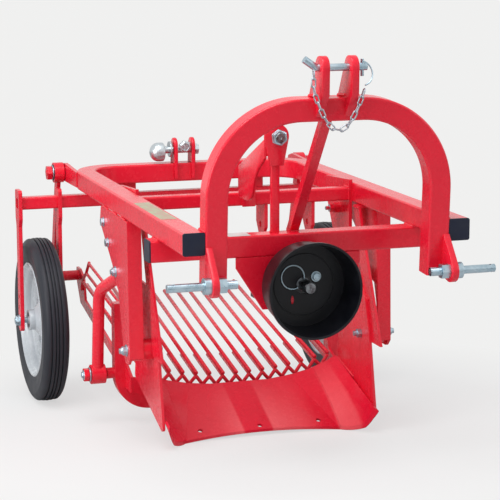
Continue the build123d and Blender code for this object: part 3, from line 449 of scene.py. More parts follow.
def foil(x0, x1, y0, y1, z):
    """A rounded foil lying on a tube's top face."""
    rim = []
    corners = ((x1, y1, 0), (x0, y1, 1), (x0, y0, 2), (x1, y0, 3))
    for x, y, quarter in corners:
        middle_x = x - FOIL_CORNER if x == x1 else x + FOIL_CORNER
        middle_y = y - FOIL_CORNER if y == y1 else y + FOIL_CORNER
        for k in range(FOIL_ROUND + 1):
            turn = (quarter + k / FOIL_ROUND) * pi / 2
            rim.append((middle_x + FOIL_CORNER * cos(turn), middle_y + FOIL_CORNER * sin(turn)))
    count = len(rim)
    points = [(x, y, z) for x, y in rim] + [(x, y, z + FOIL_T) for x, y in rim]
    faces = [list(range(count)), list(range(count, 2 * count))]
    faces += [[i, (i + 1) % count, (i + 1) % count + count, i + count] for i in range(count)]
    return points, faces


def foil_finish(name, colour, spotted):
    """Printed plastic foil, a little uneven in tone."""
    made, tree, shader = surface(name)
    place_on = tree.nodes.new("ShaderNodeTexCoord").outputs["Object"]
    patches = spread(tree, noise(tree, place_on, 34.0, 2.0), 0.35, 0.65, 0.0, 1.0)
    shader.inputs["Roughness"].default_value = 0.35
    links(
        tree,
        (blend_colour(tree, patches, colour, spotted), shader.inputs["Base Color"]),
        (bump(tree, patches, 0.0001, 0.3), shader.inputs["Normal"]),
    )
    return made


pale_foil = foil_finish("pale_foil", (0.40, 0.24, 0.17, 1), (0.34, 0.38, 0.22, 1))
white_foil = foil_finish("white_foil", (0.50, 0.49, 0.48, 1), (0.62, 0.60, 0.59, 1))
made_piece("member_sticker", [foil(*MEMBER_STICKER)], pale_foil, "chassis", 50)
made_piece("cross_tube_sticker", [foil(*CROSS_TUBE_STICKER)], white_foil, "chassis", 50)

# Zinc-plated steel of the pins, bolts and nuts: turned or forged bright, with a bluish
# passivated skin that is a little cloudy, and fine rings from the lathe.
CLOUD_SCALE = 60.0
LATHE_SCALE = (900.0, 40.0, 40.0)
LATHE_HIGH = 0.0002
ZINC_EDGE = 0.0012
CLOUD_COLOUR = (0.60, 0.68, 0.72, 1)
zinc_skin, entry, leave = group_tree(
    "zinc_skin",
    [("Colour", "NodeSocketColor", (0.6, 0.66, 0.7, 1)), ("Rings", "NodeSocketFloat", 0.3)],
    [("Colour", "NodeSocketColor"), ("Roughness", "NodeSocketFloat"), ("Normal", "NodeSocketVector")],
)
place = zinc_skin.nodes.new("ShaderNodeTexCoord").outputs["Object"]
cloud = noise(zinc_skin, place, CLOUD_SCALE, 4.0)
stretch = zinc_skin.nodes.new("ShaderNodeMapping")
stretch.inputs["Scale"].default_value = LATHE_SCALE
links(zinc_skin, (place, stretch.inputs["Vector"]))
rings = noise(zinc_skin, stretch.outputs["Vector"], 1.0, 2.0)
soft_edge = zinc_skin.nodes.new("ShaderNodeBevel")
soft_edge.samples = 6
soft_edge.inputs["Radius"].default_value = ZINC_EDGE
ring_bump = zinc_skin.nodes.new("ShaderNodeBump")
ring_bump.inputs["Distance"].default_value = LATHE_HIGH
clouded = spread(zinc_skin, cloud, 0.3, 0.7, 0.0, 0.5)
links(
    zinc_skin,
    (entry.outputs["Rings"], ring_bump.inputs["Strength"]),
    (rings, ring_bump.inputs["Height"]),
    (soft_edge.outputs["Normal"], ring_bump.inputs["Normal"]),
    (blend_colour(zinc_skin, clouded, entry.outputs["Colour"], CLOUD_COLOUR), leave.inputs["Colour"]),
    (spread(zinc_skin, cloud, 0.3, 0.7, 0.22, 0.42), leave.inputs["Roughness"]),
    (ring_bump.outputs["Normal"], leave.inputs["Normal"]),
)


def metal(name, colour, ring_strength):
    """Bare or plated steel."""
    made, tree, shader = surface(name)
    skin = tree.nodes.new("ShaderNodeGroup")
    skin.node_tree = zinc_skin
    skin.inputs["Colour"].default_value = colour
    skin.inputs["Rings"].default_value = ring_strength
    shader.inputs["Metallic"].default_value = 1.0
    links(
        tree,
        (skin.outputs["Colour"], shader.inputs["Base Color"]),
        (skin.outputs["Roughness"], shader.inputs["Roughness"]),
        (skin.outputs["Normal"], shader.inputs["Normal"]),
    )
    return made


zinc = metal("zinc_plated_steel", (0.34, 0.46, 0.54, 1), 0.3)
finish_nodes(
    zinc,
    "top_link_pin",
    "lower_pin_left",
    "lower_pin_right",
    "share_bolts",
    "link_bolts",
    "axle_left",
    "axle_right",
)

# Washers, cap nuts and threads: zinc-plated flat rings pressed under the nuts, domed caps over
# the share bolts' ends, bolt ends through the mid plates' bosses, and the rolled thread that
# stands out of the lower pins' nuts.


def turned(profile, centre, axis, segments=40, start_turn=0.0):
    """A closed outline of (radius, along) turned about an axis through the centre."""
    axis = Vector(axis).normalized()
    side = axis.cross(Vector((0, 0, 1)))
    up = side.cross(axis)
    points, faces = [], []
    count = len(profile)
    for k in range(segments):
        turn = start_turn + tau * k / segments
        out = side * cos(turn) + up * sin(turn)
        points += [Vector(centre) + axis * along + out * radius for radius, along in profile]
        beside = (k + 1) % segments
        for i in range(count):
            after = (i + 1) % count
            faces.append([k * count + i, k * count + after, beside * count + after, beside * count + i])
    return points, faces


def washer(bore_r, radius, thick):
    """Outline of a flat ring with its edges broken."""
    soft = min(0.5, thick / 4)
    return [
        (bore_r, 0),
        (radius - soft, 0),
        (radius, soft),
        (radius, thick - soft),
        (radius - soft, thick),
        (bore_r, thick),
    ]


def cap(radius, height):
    """Outline of a domed cap."""
    rounds = [(radius * cos(pi / 2 * k / 8), height * sin(pi / 2 * k / 8)) for k in range(8)]
    return [(0.2, 0), *rounds, (0.2, height)]


def thread(radius, length, pitch, depth):
    """Outline of a rolled thread, crest by crest."""
    crests = []
    turns = int(length / pitch)
    for i in range(turns):
        crests += [(radius, i * pitch), (radius + depth, (i + 0.5) * pitch)]
    return [(radius - 3, 0), *crests, (radius, turns * pitch), (radius - 3, turns * pitch)]


CHASSIS_WASHERS = (
    # where (mm), bore, radius, thickness; the right side's, mirrored for the left
    ((405.0, 585.0, -440.0), 8.2, 17.5, 2.6),
    ((405.0, 707.0, -230.0), 8.2, 16.5, 2.4),
    ((405.0, 798.0, -158.0), 5.0, 14.5, 2.2),
    ((405.0, 851.0, -104.0), 5.0, 14.5, 2.2),
    ((572.0, 1358.0, -503.0), 10.2, 18.5, 2.6),
    ((437.0, 1430.0, -30.0), 10.2, 24.0, 4.0),
)
CAP_NUT_AT = (417.5, 585.0, -440.0)
BOSS_BOLT_AT = (308.2, 795.0, -88.0)
THREAD_AT = (298.0, -45.8, -132.0)
BOSS_BOLT = [
    (0.2, 0),
    (11.8, 0),
    (12.7, 1.2),
    (12.7, 11.4),
    (11.8, 12.6),
    (6.3, 12.6),
    (6.3, 24.0),
    (5.6, 24.8),
    (0.2, 24.8),
]


def on_side(side, at):
    """The place on one side of the machine."""
    return (side * at[0], at[1], at[2])


chassis_parts = []
for side in (-1, 1):
    outward, inward = (side, 0, 0), (-side, 0, 0)
    for at, bore_r, radius, thick in CHASSIS_WASHERS:
        chassis_parts.append(turned(washer(bore_r, radius, thick), on_side(side, at), outward))
    chassis_parts.append(turned(cap(10.6, 8.8), on_side(side, CAP_NUT_AT), outward, 24))
    chassis_parts.append(turned(BOSS_BOLT, on_side(side, BOSS_BOLT_AT), inward, 6))
    chassis_parts.append(turned(thread(11.0, 30.0, 2.5, 0.7), on_side(side, THREAD_AT), inward, 32))
made_piece("washers_caps_threads", chassis_parts, zinc, "chassis", 35)

# Sieve pins: the zinc-plated ends of the pins that the sieve swings on, each with a washer.
# The front ones have a lock nut and the rear ones a split pin.
FRONT_PIN_AT = (442.6, 905.0, -586.0)
ARM_NUT_AT = (446.8, 905.0, -586.0)
REAR_PIN_AT = (437.0, 1540.0, -400.0)
SPLIT_PIN_X = 442.5
SPLIT_PIN_R = 1.8
ARM_NUT = [
    (0.3, 0),
    (17.6, 0),
    (18.6, 1.4),
    (18.6, 15.0),
    (17.6, 16.6),
    (10.2, 16.6),
    (10.2, 21.0),
    (9.0, 22.4),
    (0.3, 22.4),
]
sieve_parts = []
for side in (-1, 1):
    outward = (side, 0, 0)
    sieve_parts.append(turned(washer(10.0, 22.0, 4.0), on_side(side, FRONT_PIN_AT), outward))
    sieve_parts.append(turned(washer(10.0, 17.0, 3.0), on_side(side, REAR_PIN_AT), outward))
    split_pin = [(side * SPLIT_PIN_X, REAR_PIN_AT[1], REAR_PIN_AT[2] + up) for up in (-17, -9, 0, 9, 15)]
    sieve_parts.append(wire(split_pin, outward, SPLIT_PIN_R, 8))
    sieve_parts.append(turned(ARM_NUT, on_side(side, ARM_NUT_AT), outward, 6))
made_piece("sieve_pin_washers", sieve_parts, zinc, "sieve", 35)

# Hitch lugs: pairs of flame-cut plates, round about their pins and rubbed down along the
# edges before they were coated, on the arch for the top link and on its legs for the lower.


def hull(points):
    """The outline round a set of flat points, taken anticlockwise."""
    rows = sorted(set((round(a, 3), round(b, 3)) for a, b in points))
    outline = []
    for row in (rows, rows[::-1]):
        start = len(outline)
        for a, b in row:
            while len(outline) > start + 1:
                (a0, b0), (a1, b1) = outline[-2:]
                if (a1 - a0) * (b - b0) - (b1 - b0) * (a - a0) > 0.01:
                    break
                outline.pop()
            outline.append((a, b))
        outline.pop()
    return outline


def disc(a, b, radius, count=48):
    """Points round a circle."""
    return [(a + radius * cos(tau * k / count), b + radius * sin(tau * k / count)) for k in range(count)]


def inset(outline, by):
    """An anticlockwise outline drawn in by a width."""
    drawn = []
    for i, (a, b) in enumerate(outline):
        before = Vector((a, b)) - Vector(outline[i - 1])
        after = Vector(outline[(i + 1) % len(outline)]) - Vector((a, b))
        first = Vector((-before.y, before.x)).normalized()
        second = Vector((-after.y, after.x)).normalized()
        both_ways = first + second
        both_ways *= 2 / max(both_ways.length_squared, 0.8)
        drawn.append((a + both_ways.x * by, b + both_ways.y * by))
    return drawn


def plate(outline, low, high, faces_along="x", soft=1.6):
    """A plate with broken edges, from low to high along X or along Y."""
    count = len(outline)
    points, faces = [], []
    round_by = soft * 0.3
    levels = [(low, soft), (low + round_by, round_by), (low + soft, 0)]
    levels += [(high - soft, 0), (high - round_by, round_by), (high, soft)]
    for level, by in levels:
        for a, b in inset(outline, by):
            points.append((level, a, b) if faces_along == "x" else (a, level, b))
    last = len(levels) - 1
    for i in range(last):
        for k in range(count):
            beside = (k + 1) % count
            faces.append([i * count + k, i * count + beside, (i + 1) * count + beside, (i + 1) * count + k])
    faces += [list(range(count)), [last * count + k for k in range(count)]]
    return points, faces


TOP_HEAD = (-49.6, 417.0, 30.0)
TOP_FEET = [(-26.5, 288.0), (-77.6, 347.0), (26.4, 340.0)]
TOP_LUG_X = (30.0, 50.0)
LOW_HEAD = (-45.8, -132.0, 31.0)
LOW_FEET = [(-8.1, -40.0), (-3.1, -40.0), (3.3, -152.0)]
LOW_LUG_X = (322.0, 340.0)
top_outline = hull([*TOP_FEET, *disc(*TOP_HEAD)])
low_outline = hull([*LOW_FEET, *disc(*LOW_HEAD)])
top_lugs = [plate(top_outline, *sorted(side * x for x in TOP_LUG_X)) for side in (-1, 1)]
low_lugs = [plate(low_outline, *sorted(side * x for x in LOW_LUG_X)) for side in (-1, 1)]
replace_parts(made_piece("round_top_lugs", top_lugs, red_coat, "chassis", 40), "top_link_lugs")
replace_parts(made_piece("round_lower_lugs", low_lugs, red_coat, "chassis", 40), "lower_hitch_lugs")

# Post: a flat bar on the cross tube with an eye plate across it, held from behind by a broad
# gusset that runs back to an upright on the mid cross tube. All are welded and coated red. A
# zinc-plated lock nut holds the dark end of a bolt in the eye.
EYE_FOOT = [(-76.0, 126.0), (-37.0, 126.0)]
EYE_HEAD = (-57.0, 206.0, 35.5)
EYE_Y = (260.0, 268.0)
BAR_OUTLINE = [(268.0, -60.0), (286.0, -60.0), (286.0, 222.0), (268.0, 222.0)]
BAR_X = (-69.0, -46.0)
UPRIGHT_OUTLINE = [(-12.0, -56.0), (28.0, -56.0), (28.0, 60.0), (22.0, 68.0), (-12.0, 68.0)]
UPRIGHT_Y = (706.0, 714.6)
GUSSET_X = (-92.0, -84.0)
GUSSET_OUTLINE = [
    (266.0, 147.0),
    (290.0, 130.0),
    (318.0, 112.0),
    (342.0, 92.0),
    (356.0, 76.0),
    (365.0, 57.0),
    (372.0, 37.0),
    (384.0, 22.0),
    (404.0, 12.0),
    (430.0, 8.0),
    (500.0, 8.0),
    (500.0, 98.0),
    (266.0, 200.0),
]
GUSSET_TAIL = (
    # x, y, top and bottom at each end of the gusset's rear half
    (-92.0, 496.0, 98.0, 10.0),
    (-14.0, 710.0, 62.0, -28.0),
)
GUSSET_T = 8.0
tail_points = []
for x, y, top, bottom in GUSSET_TAIL:
    tail_points += [(x, y, top), (x + GUSSET_T, y, top), (x + GUSSET_T, y, bottom), (x, y, bottom)]
tail_faces = [(0, 1, 2, 3), (4, 5, 6, 7), (0, 1, 5, 4), (1, 2, 6, 5), (2, 3, 7, 6), (3, 0, 4, 7)]
post_parts = [
    plate(hull([*EYE_FOOT, *disc(*EYE_HEAD)]), *EYE_Y, "y"),
    plate(BAR_OUTLINE, *BAR_X),
    plate(GUSSET_OUTLINE, *GUSSET_X),
    (tail_points, tail_faces),
    plate(UPRIGHT_OUTLINE, *UPRIGHT_Y, "y"),
    bead((-12, 713, -54), (28, 713, -54), (0, 0, 1)),
    bead((-84, 270, 196), (-84, 270, 152), (1, 0, 0)),
    bead((-72, 278, -58), (-46, 278, -58), (0, 0, 1)),
]
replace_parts(made_piece("post_eye_gusset", post_parts, red_coat, "chassis", 40), "centre_post")

EYE_BOLT_AT = (-51.0, 260.0, 204.0)
FORWARD = (0, -1, 0)
LOCK_NUT = [
    (0.3, 0),
    (22.0, 0),
    (23.0, 0.8),
    (23.0, 2.2),
    (21.6, 3.0),
    (20.6, 3.2),
    (21.6, 4.6),
    (21.6, 12.4),
    (19.0, 13.8),
    (15.6, 14.2),
    (14.6, 12.0),
    (0.3, 12.0),
]
BOLT_END = [(0.3, 0), (13.4, 0), (13.4, 14.6), (12.0, 16.0), (4.0, 16.0), (3.0, 15.0), (0.3, 14.8)]
bare_steel = metal("oiled_shaft_steel", (0.07, 0.055, 0.062, 1), 0.2)
made_piece("post_lock_nut", [turned(LOCK_NUT, EYE_BOLT_AT, FORWARD, 6, 0.4)], zinc, "chassis", 30)
made_piece("post_bolt_end", [turned(BOLT_END, EYE_BOLT_AT, FORWARD, 32)], bare_steel, "chassis", 30)

# Adjuster: two flame-cut lugs with round heads, coated red, on top of the rear member and down
# its front face. A zinc-plated cross bolt with a domed head runs through both, and the lock
# nut of the fore-and-aft screw stands between them.
LUG_FOOT = [(1292.0, -50.0), (1306.0, -50.0), (1306.0, 0.0), (1350.0, 0.0)]
LUG_HEAD_Y, LUG_HEAD_Z, LUG_HEAD_R = 1318.0, 58.0, 26.0
LUGS_X = ((-59.0, -47.0), (0.0, 12.0))
LUG_STEPS = 16
lug_outline = list(LUG_FOOT)
for k in range(LUG_STEPS + 1):
    turn = pi * k / LUG_STEPS
    lug_outline.append((LUG_HEAD_Y + LUG_HEAD_R * cos(turn), LUG_HEAD_Z + LUG_HEAD_R * sin(turn)))
adjuster_parts = [plate(lug_outline, *lug_x, soft=3.0) for lug_x in LUGS_X]
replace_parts(made_piece("round_adjuster_lugs", adjuster_parts, red_coat, "chassis", 40), "adjuster_lugs")

DOME_R = 31.0
DOME_HIGH = 28.0
DOME_SKIRT = 18.0
BOLT_Y, BOLT_Z = 1322.0, 44.0
SCREW_X, SCREW_Z = -22.0, 55.0
CROSS_BOLT = [(0.3, 0), (12.0, 0), (12.0, 134.0), (10.6, 135.4), (0.3, 135.4)]
END_NUT = [(0.3, 0), (17.0, 0), (18.4, 1.2), (18.4, 11.0), (17.0, 12.4), (0.3, 12.4)]
SCREW_BODY = [(0.3, 0), (13.0, 0), (13.0, 34.0), (0.3, 34.0)]
RING_NUT = [
    (0.3, 0),
    (19.0, 0),
    (20.4, 1.2),
    (20.4, 15.0),
    (18.0, 17.2),
    (16.0, 19.6),
    (12.4, 20.2),
    (11.6, 19.0),
    (11.0, 16.6),
    (8.6, 16.6),
    (8.0, 18.6),
    (0.3, 18.6),
]
dome = [(0.3, 0), (28.0, 0), (30.5, 2.0), (DOME_R, 8.0), (DOME_R, DOME_SKIRT)]
for k in range(1, 10):
    turn = pi / 2 * k / 10
    dome.append((DOME_R * cos(turn), DOME_SKIRT + DOME_HIGH * sin(turn)))
dome.append((0.3, DOME_SKIRT + DOME_HIGH))
bright_zinc = metal("bright_screw_zinc", (0.58, 0.62, 0.65, 1), 0.1)
adjuster_screw = [
    turned(dome, (-90.0, BOLT_Y, 38.0), (-1, 0, 0), 48),
    turned(washer(11.0, 26.0, 6.0), (-65.0, BOLT_Y, 46.0), (-1, 0, 0), 48),
    turned(CROSS_BOLT, (-106.0, BOLT_Y, BOLT_Z), (1, 0, 0), 32),
    turned(washer(11.0, 17.0, 3.0), (12.4, BOLT_Y, BOLT_Z), (1, 0, 0), 36),
    turned(END_NUT, (15.6, BOLT_Y, BOLT_Z), (1, 0, 0), 6),
    turned(SCREW_BODY, (SCREW_X, 1330.0, SCREW_Z), FORWARD, 6, 0.3),
    turned(RING_NUT, (SCREW_X, 1308.0, SCREW_Z), FORWARD, 6, 0.3),
]
screw_piece = made_piece("adjuster_screw", adjuster_screw, bright_zinc, "chassis", 30)
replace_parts(screw_piece, "rear_adjuster")

# Chain: short welded links of round zinc-plated wire, each turned a quarter from the last,
# which hang from the top pin's handle and run in a slack bow to the linch pin.
CHAIN_Y = -71.56
HANDLE_END = (-72.0, 411.0)
DROP_END = (-72.0, 363.0)
LINCH_END = (66.0, 359.0)
CHAIN_SAG = 104.0
LINK_LONG = 29.0
LINK_WIDE = 15.0
LINK_WIRE_R = 2.0
LINK_PLAY = 0.6
LINK_CORNERS = 16
LOOK_AHEAD = 0.002


def chain_place(run):
    """A place on the chain: below 0 on the drop, then from 0 to 1 along the slack bow."""
    if run < 0:
        return Vector((DROP_END[0], CHAIN_Y, DROP_END[1] - run * (HANDLE_END[1] - DROP_END[1])))
    x = DROP_END[0] + run * (LINCH_END[0] - DROP_END[0])
    z = DROP_END[1] + run * (LINCH_END[1] - DROP_END[1])
    return Vector((x, CHAIN_Y, z - CHAIN_SAG * 4 * run * (1 - run)))


link_parts = []
run = -1.0
while run < 1:
    here = chain_place(run)
    ahead = run
    while ahead < 1 and (chain_place(ahead) - here).length < LINK_LONG - 4 * LINK_WIRE_R - LINK_PLAY:
        ahead += LOOK_AHEAD
    there = chain_place(ahead)
    along = (there - here).normalized()
    across = Vector((0, 1, 0)) if len(link_parts) % 2 else along.cross(Vector((0, 1, 0)))
    beside = along.cross(across)
    bend_r = LINK_WIDE / 2 - LINK_WIRE_R
    half = LINK_LONG / 2 - LINK_WIRE_R - bend_r
    loop = []
    for k in range(LINK_CORNERS):
        turn = tau * (k + 0.5) / LINK_CORNERS
        shove = half if cos(turn) > 0 else -half
        loop.append((here + there) / 2 + along * (shove + bend_r * cos(turn)) + beside * (bend_r * sin(turn)))
    link_parts.append(wire(loop, across, LINK_WIRE_R, 8, closed=True))
    run = ahead
chain_steel = metal("chain_zinc", (0.33, 0.35, 0.40, 1), 0.05)
chain = made_piece("top_pin_chain_links", link_parts, chain_steel, "chassis", 60)
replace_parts(chain, "top_pin_chain")

# Gearbox: a cast case bolted up under the cross tube, in a satin coat that leaves the rough casting to be seen.
# Its near-black colour is painted shade, the dark the case shows in the shadow behind the guard cup.
# Painted shade: the case is coloured near black for its shadow behind the guard cup.
case_painted_shade_coat = coated("case_painted_shade_black", (0.016, 0.016, 0.020, 1), (0.008, 0.008, 0.011, 1))
finish_nodes(case_painted_shade_coat, "gearbox")

# Splined stub shaft: six splines milled to the tractor's drive shaft size, chamfered at the
# end round a lathe centre, dark with oil.
SPLINE_R = 17.45
ROOT_R = 14.7
SPLINE_HALF = 4.35
ROOT_SPREAD = 1.15
SHAFT_Z = -196.0
SHAFT_END_Y = 140.0
SHAFT_SEAT_Y = 200.0
END_CHAMFER = 2.6
SEAT_R = 20.0
SEAT_LONG = 103.0


def spline_ring(y, taken):
    """One section of the splined shaft, drawn in by what a chamfer takes off."""
    ring = []
    for k in range(6):
        middle = tau * k / 6
        corners = [(ROOT_R, -ROOT_SPREAD), (SPLINE_R, -1), (SPLINE_R, 0), (SPLINE_R, 1), (ROOT_R, ROOT_SPREAD)]
        for radius, across in corners:
            radius = min(radius, SPLINE_R - taken)
            turn = middle + across * SPLINE_HALF / radius
            ring.append((radius * sin(turn), y, SHAFT_Z + radius * cos(turn)))
        between = middle + tau / 12
        ring.append((ROOT_R * sin(between), y, SHAFT_Z + ROOT_R * cos(between)))
    return ring


rings = [
    spline_ring(SHAFT_END_Y, END_CHAMFER),
    spline_ring(SHAFT_END_Y + END_CHAMFER, 0.0),
    spline_ring(SHAFT_SEAT_Y, 0.0),
]
ring_count = len(rings[0])
shaft_points = [point for ring in rings for point in ring]
shaft_faces = []
for i in range(len(rings) - 1):
    for k in range(ring_count):
        next_k = (k + 1) % ring_count
        start, after = i * ring_count, (i + 1) * ring_count
        shaft_faces.append([start + k, start + next_k, after + next_k, after + k])
end_r = SPLINE_R - 2.9
end_face = [(0.3, 4.0), (3.4, 0.5), (5.0, 0.05), (end_r, 0.0), (end_r, 1.0), (0.3, 6.0)]
seat = [(0.3, 0.0), (SEAT_R - 1, 0.0), (SEAT_R, 1.0)]
seat += [(SEAT_R, SEAT_LONG - 1), (SEAT_R - 1, SEAT_LONG), (0.3, SEAT_LONG)]
shaft = made_piece(
    "splined_shaft",
    [
        (shaft_points, shaft_faces),
        turned(end_face, (0, SHAFT_END_Y, SHAFT_Z), (0, 1, 0), 32),
        turned(seat, (0, SHAFT_SEAT_Y, SHAFT_Z), (0, 1, 0), 32),
    ],
    bare_steel,
    "drive_shaft",
    28,
)
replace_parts(shaft, "pto_shaft")

# Black plastic: the tube plugs are injection moulded with a fine spark-eroded grain, the
# guard cup is blow moulded and glossier, both with rounded lips.
PATCH_SCALE = 22.0
PATCH_COLOUR = (0.018, 0.020, 0.026, 1)
GRAIN_HIGH = 0.0002
PLASTIC_EDGE = 0.0015
moulded_skin, entry, leave = group_tree(
    "moulded_skin",
    [
        ("Colour", "NodeSocketColor", (0.02, 0.025, 0.035, 1)),
        ("Grain size", "NodeSocketFloat", 900.0),
        ("Low roughness", "NodeSocketFloat", 0.3),
        ("High roughness", "NodeSocketFloat", 0.5),
    ],
    [("Colour", "NodeSocketColor"), ("Roughness", "NodeSocketFloat"), ("Normal", "NodeSocketVector")],
)
place = moulded_skin.nodes.new("ShaderNodeTexCoord").outputs["Object"]
grain = moulded_skin.nodes.new("ShaderNodeTexNoise")
grain.inputs["Detail"].default_value = 2.0
links(moulded_skin, (place, grain.inputs["Vector"]), (entry.outputs["Grain size"], grain.inputs["Scale"]))
patches = noise(moulded_skin, place, PATCH_SCALE, 4.0)
rough_range = moulded_skin.nodes.new("ShaderNodeMapRange")
soft_edge = moulded_skin.nodes.new("ShaderNodeBevel")
soft_edge.samples = 6
soft_edge.inputs["Radius"].default_value = PLASTIC_EDGE
patched = spread(moulded_skin, patches, 0.4, 0.8, 0.0, 0.4)
links(
    moulded_skin,
    (patches, rough_range.inputs["Value"]),
    (entry.outputs["Low roughness"], rough_range.inputs["To Min"]),
    (entry.outputs["High roughness"], rough_range.inputs["To Max"]),
    (blend_colour(moulded_skin, patched, entry.outputs["Colour"], PATCH_COLOUR), leave.inputs["Colour"]),
    (rough_range.outputs["Result"], leave.inputs["Roughness"]),
    (
        bump(moulded_skin, grain.outputs["Fac"], GRAIN_HIGH, 0.4, soft_edge.outputs["Normal"]),
        leave.inputs["Normal"],
    ),
)


def moulded(name, colour, grain_size, low_roughness, high_roughness):
    """Moulded plastic or rubber."""
    made, tree, shader = surface(name)
    skin = tree.nodes.new("ShaderNodeGroup")
    skin.node_tree = moulded_skin
    skin.inputs["Colour"].default_value = colour
    skin.inputs["Grain size"].default_value = grain_size
    skin.inputs["Low roughness"].default_value = low_roughness
    skin.inputs["High roughness"].default_value = high_roughness
    shader.inputs["Specular IOR Level"].default_value = 0.28
    links(
        tree,
        (skin.outputs["Colour"], shader.inputs["Base Color"]),
        (skin.outputs["Roughness"], shader.inputs["Roughness"]),
        (skin.outputs["Normal"], shader.inputs["Normal"]),
    )
    return made


plug_plastic = moulded("plug_plastic", (0.010, 0.014, 0.032, 1), 1400.0, 0.3, 0.45)
cup_plastic = moulded("guard_cup_plastic", (0.003, 0.0035, 0.006, 1), 700.0, 0.26, 0.40)
finish_nodes(plug_plastic, "tube_end_plugs")
finish_nodes(cup_plastic, "pto_guard")

# Inside of the guard: a sprung steel ring and a zinc-plated bolt head hold the cup to the
# gearbox. They stand on the cup's floor, in a raised moulded step, beside one red mark.
CUP_FLOOR_Y = 196.0
RING_AT = (-32.9, -173.1)
RING_R = 33.0
RING_WIRE_R = 2.2
RING_GAP = (-62, -30)
RING_STEPS = 36
CUP_BOLT_AT = (34.7, CUP_FLOOR_Y, -174.8)
CUP_BOLT = [
    (0.3, 0),
    (14.4, 0),
    (14.4, 2.6),
    (11.6, 2.8),
    (10.8, 8.6),
    (9.6, 9.6),
    (6.6, 9.6),
    (6.2, 7.6),
    (0.3, 7.6),
]
STEP = [(84.0, 0.0), (88.0, 0.0), (87.4, 2.6), (84.8, 2.6)]
MARK_AT = (-33.6, CUP_FLOOR_Y, -236.4)
MARK = [(0.3, 0.0), (5.2, 0.0), (5.6, 0.5), (5.2, 1.2), (0.3, 1.2)]
MARK_WIDE = 0.8
MARK_TALL = 2.1
ring_path = []
for k in range(RING_STEPS + 1):
    turn = radians(RING_GAP[1] + (RING_GAP[0] + 360 - RING_GAP[1]) * k / RING_STEPS)
    x, z = RING_AT[0] + RING_R * cos(turn), RING_AT[1] + RING_R * sin(turn)
    ring_path.append((x, CUP_FLOOR_Y - RING_WIRE_R * 0.8, z))
made_piece("cup_ring", [wire(ring_path, (0, 1, 0), RING_WIRE_R, 8)], zinc, "chassis", 60)
made_piece("cup_bolt", [turned(CUP_BOLT, CUP_BOLT_AT, FORWARD, 36)], zinc, "chassis", 30)
cup_step = turned(STEP, (0, CUP_FLOOR_Y, SHAFT_Z), FORWARD, 72)
made_piece("cup_step", [cup_step], cup_plastic, "chassis", 30)
mark_points, mark_faces = turned(MARK, MARK_AT, FORWARD, 24)
mark_points = [
    (MARK_AT[0] + (x - MARK_AT[0]) * MARK_WIDE, y, MARK_AT[2] + (z - MARK_AT[2]) * MARK_TALL)
    for x, y, z in mark_points
]
made_piece("cup_red_mark", [(mark_points, mark_faces)], red_coat, "chassis", 50)

# Wheels: narrow moulded tyres with round ribs running round the tread, on pressed steel rims
# in pale grey lacquer with a stepped disc, five rim bolts and a plain hub tube.
TYRE_OUTLINE = (
    # radius, place across the wheel (mm)
    (188.0, -34.0),
    (192.0, -35.5),
    (197.0, -37.8),
    (200.0, -37.4),
    (204.0, -38.6),
    (226.0, -41.6),
    (240.0, -41.4),
    (242.0, -42.0),
    (245.0, -41.2),
    (256.0, -37.2),
    (261.5, -33.0),
    (265.0, -28.6),
    (266.0, -24.5),
    (265.6, -19.8),
    (260.8, -18.6),
    (260.8, -16.4),
    (266.4, -15.2),
    (267.4, -11.0),
    (266.8, -6.8),
    (262.0, -5.8),
    (262.0, -3.8),
    (267.6, -2.6),
    (268.0, 0.0),
)
RIM_OUTLINE = (
    (10.4, -46.0),
    (28.0, -46.0),
    (30.0, -44.0),
    (30.0, -22.0),
    (60.0, -21.0),
    (128.0, -22.0),
    (150.0, -18.0),
    (168.0, -14.0),
    (173.0, -18.0),
    (176.0, -33.0),
    (184.0, -36.5),
    (188.0, -36.0),
    (188.0, 36.0),
    (184.5, 38.0),
    (181.0, 37.5),
    (178.0, 34.0),
    (175.0, 26.0),
    (170.0, 22.0),
    (166.0, 14.0),
    (165.0, 2.0),
    (160.0, -4.0),
    (150.0, -6.5),
    (143.0, -6.0),
    (139.0, -1.0),
    (133.0, 0.0),
    (127.0, -3.0),
    (122.0, -9.0),
    (96.0, -11.0),
    (70.0, -4.0),
    (46.0, 14.0),
    (38.0, 20.0),
    (34.0, 24.0),
    (34.0, 40.0),
    (32.0, 43.5),
    (29.0, 44.0),
    (26.0, 41.0),
    (25.0, 30.0),
    (14.0, 29.0),
    (13.0, 44.0),
    (10.4, 46.0),
)
WHEEL_PLACE = (501.0, 1358.0, -503.0)
RIM_BOLTS = 5
RIM_BOLT_RING = 108.0
RIM_BOLT_INSET = 10.5
RIM_BOLT = [(0.2, 0), (9.5, 0), (9.5, 5.0), (8.6, 6.6), (0.2, 6.6)]
tyre_rubber = moulded("tyre_rubber", (0.022, 0.024, 0.032, 1), 500.0, 0.42, 0.6)
grey_lacquer = coated("grey_rim_lacquer", (0.50, 0.53, 0.56, 1), (0.38, 0.42, 0.46, 1))
whole_outline = list(TYRE_OUTLINE) + [(radius, -across) for radius, across in reversed(TYRE_OUTLINE[:-1])]
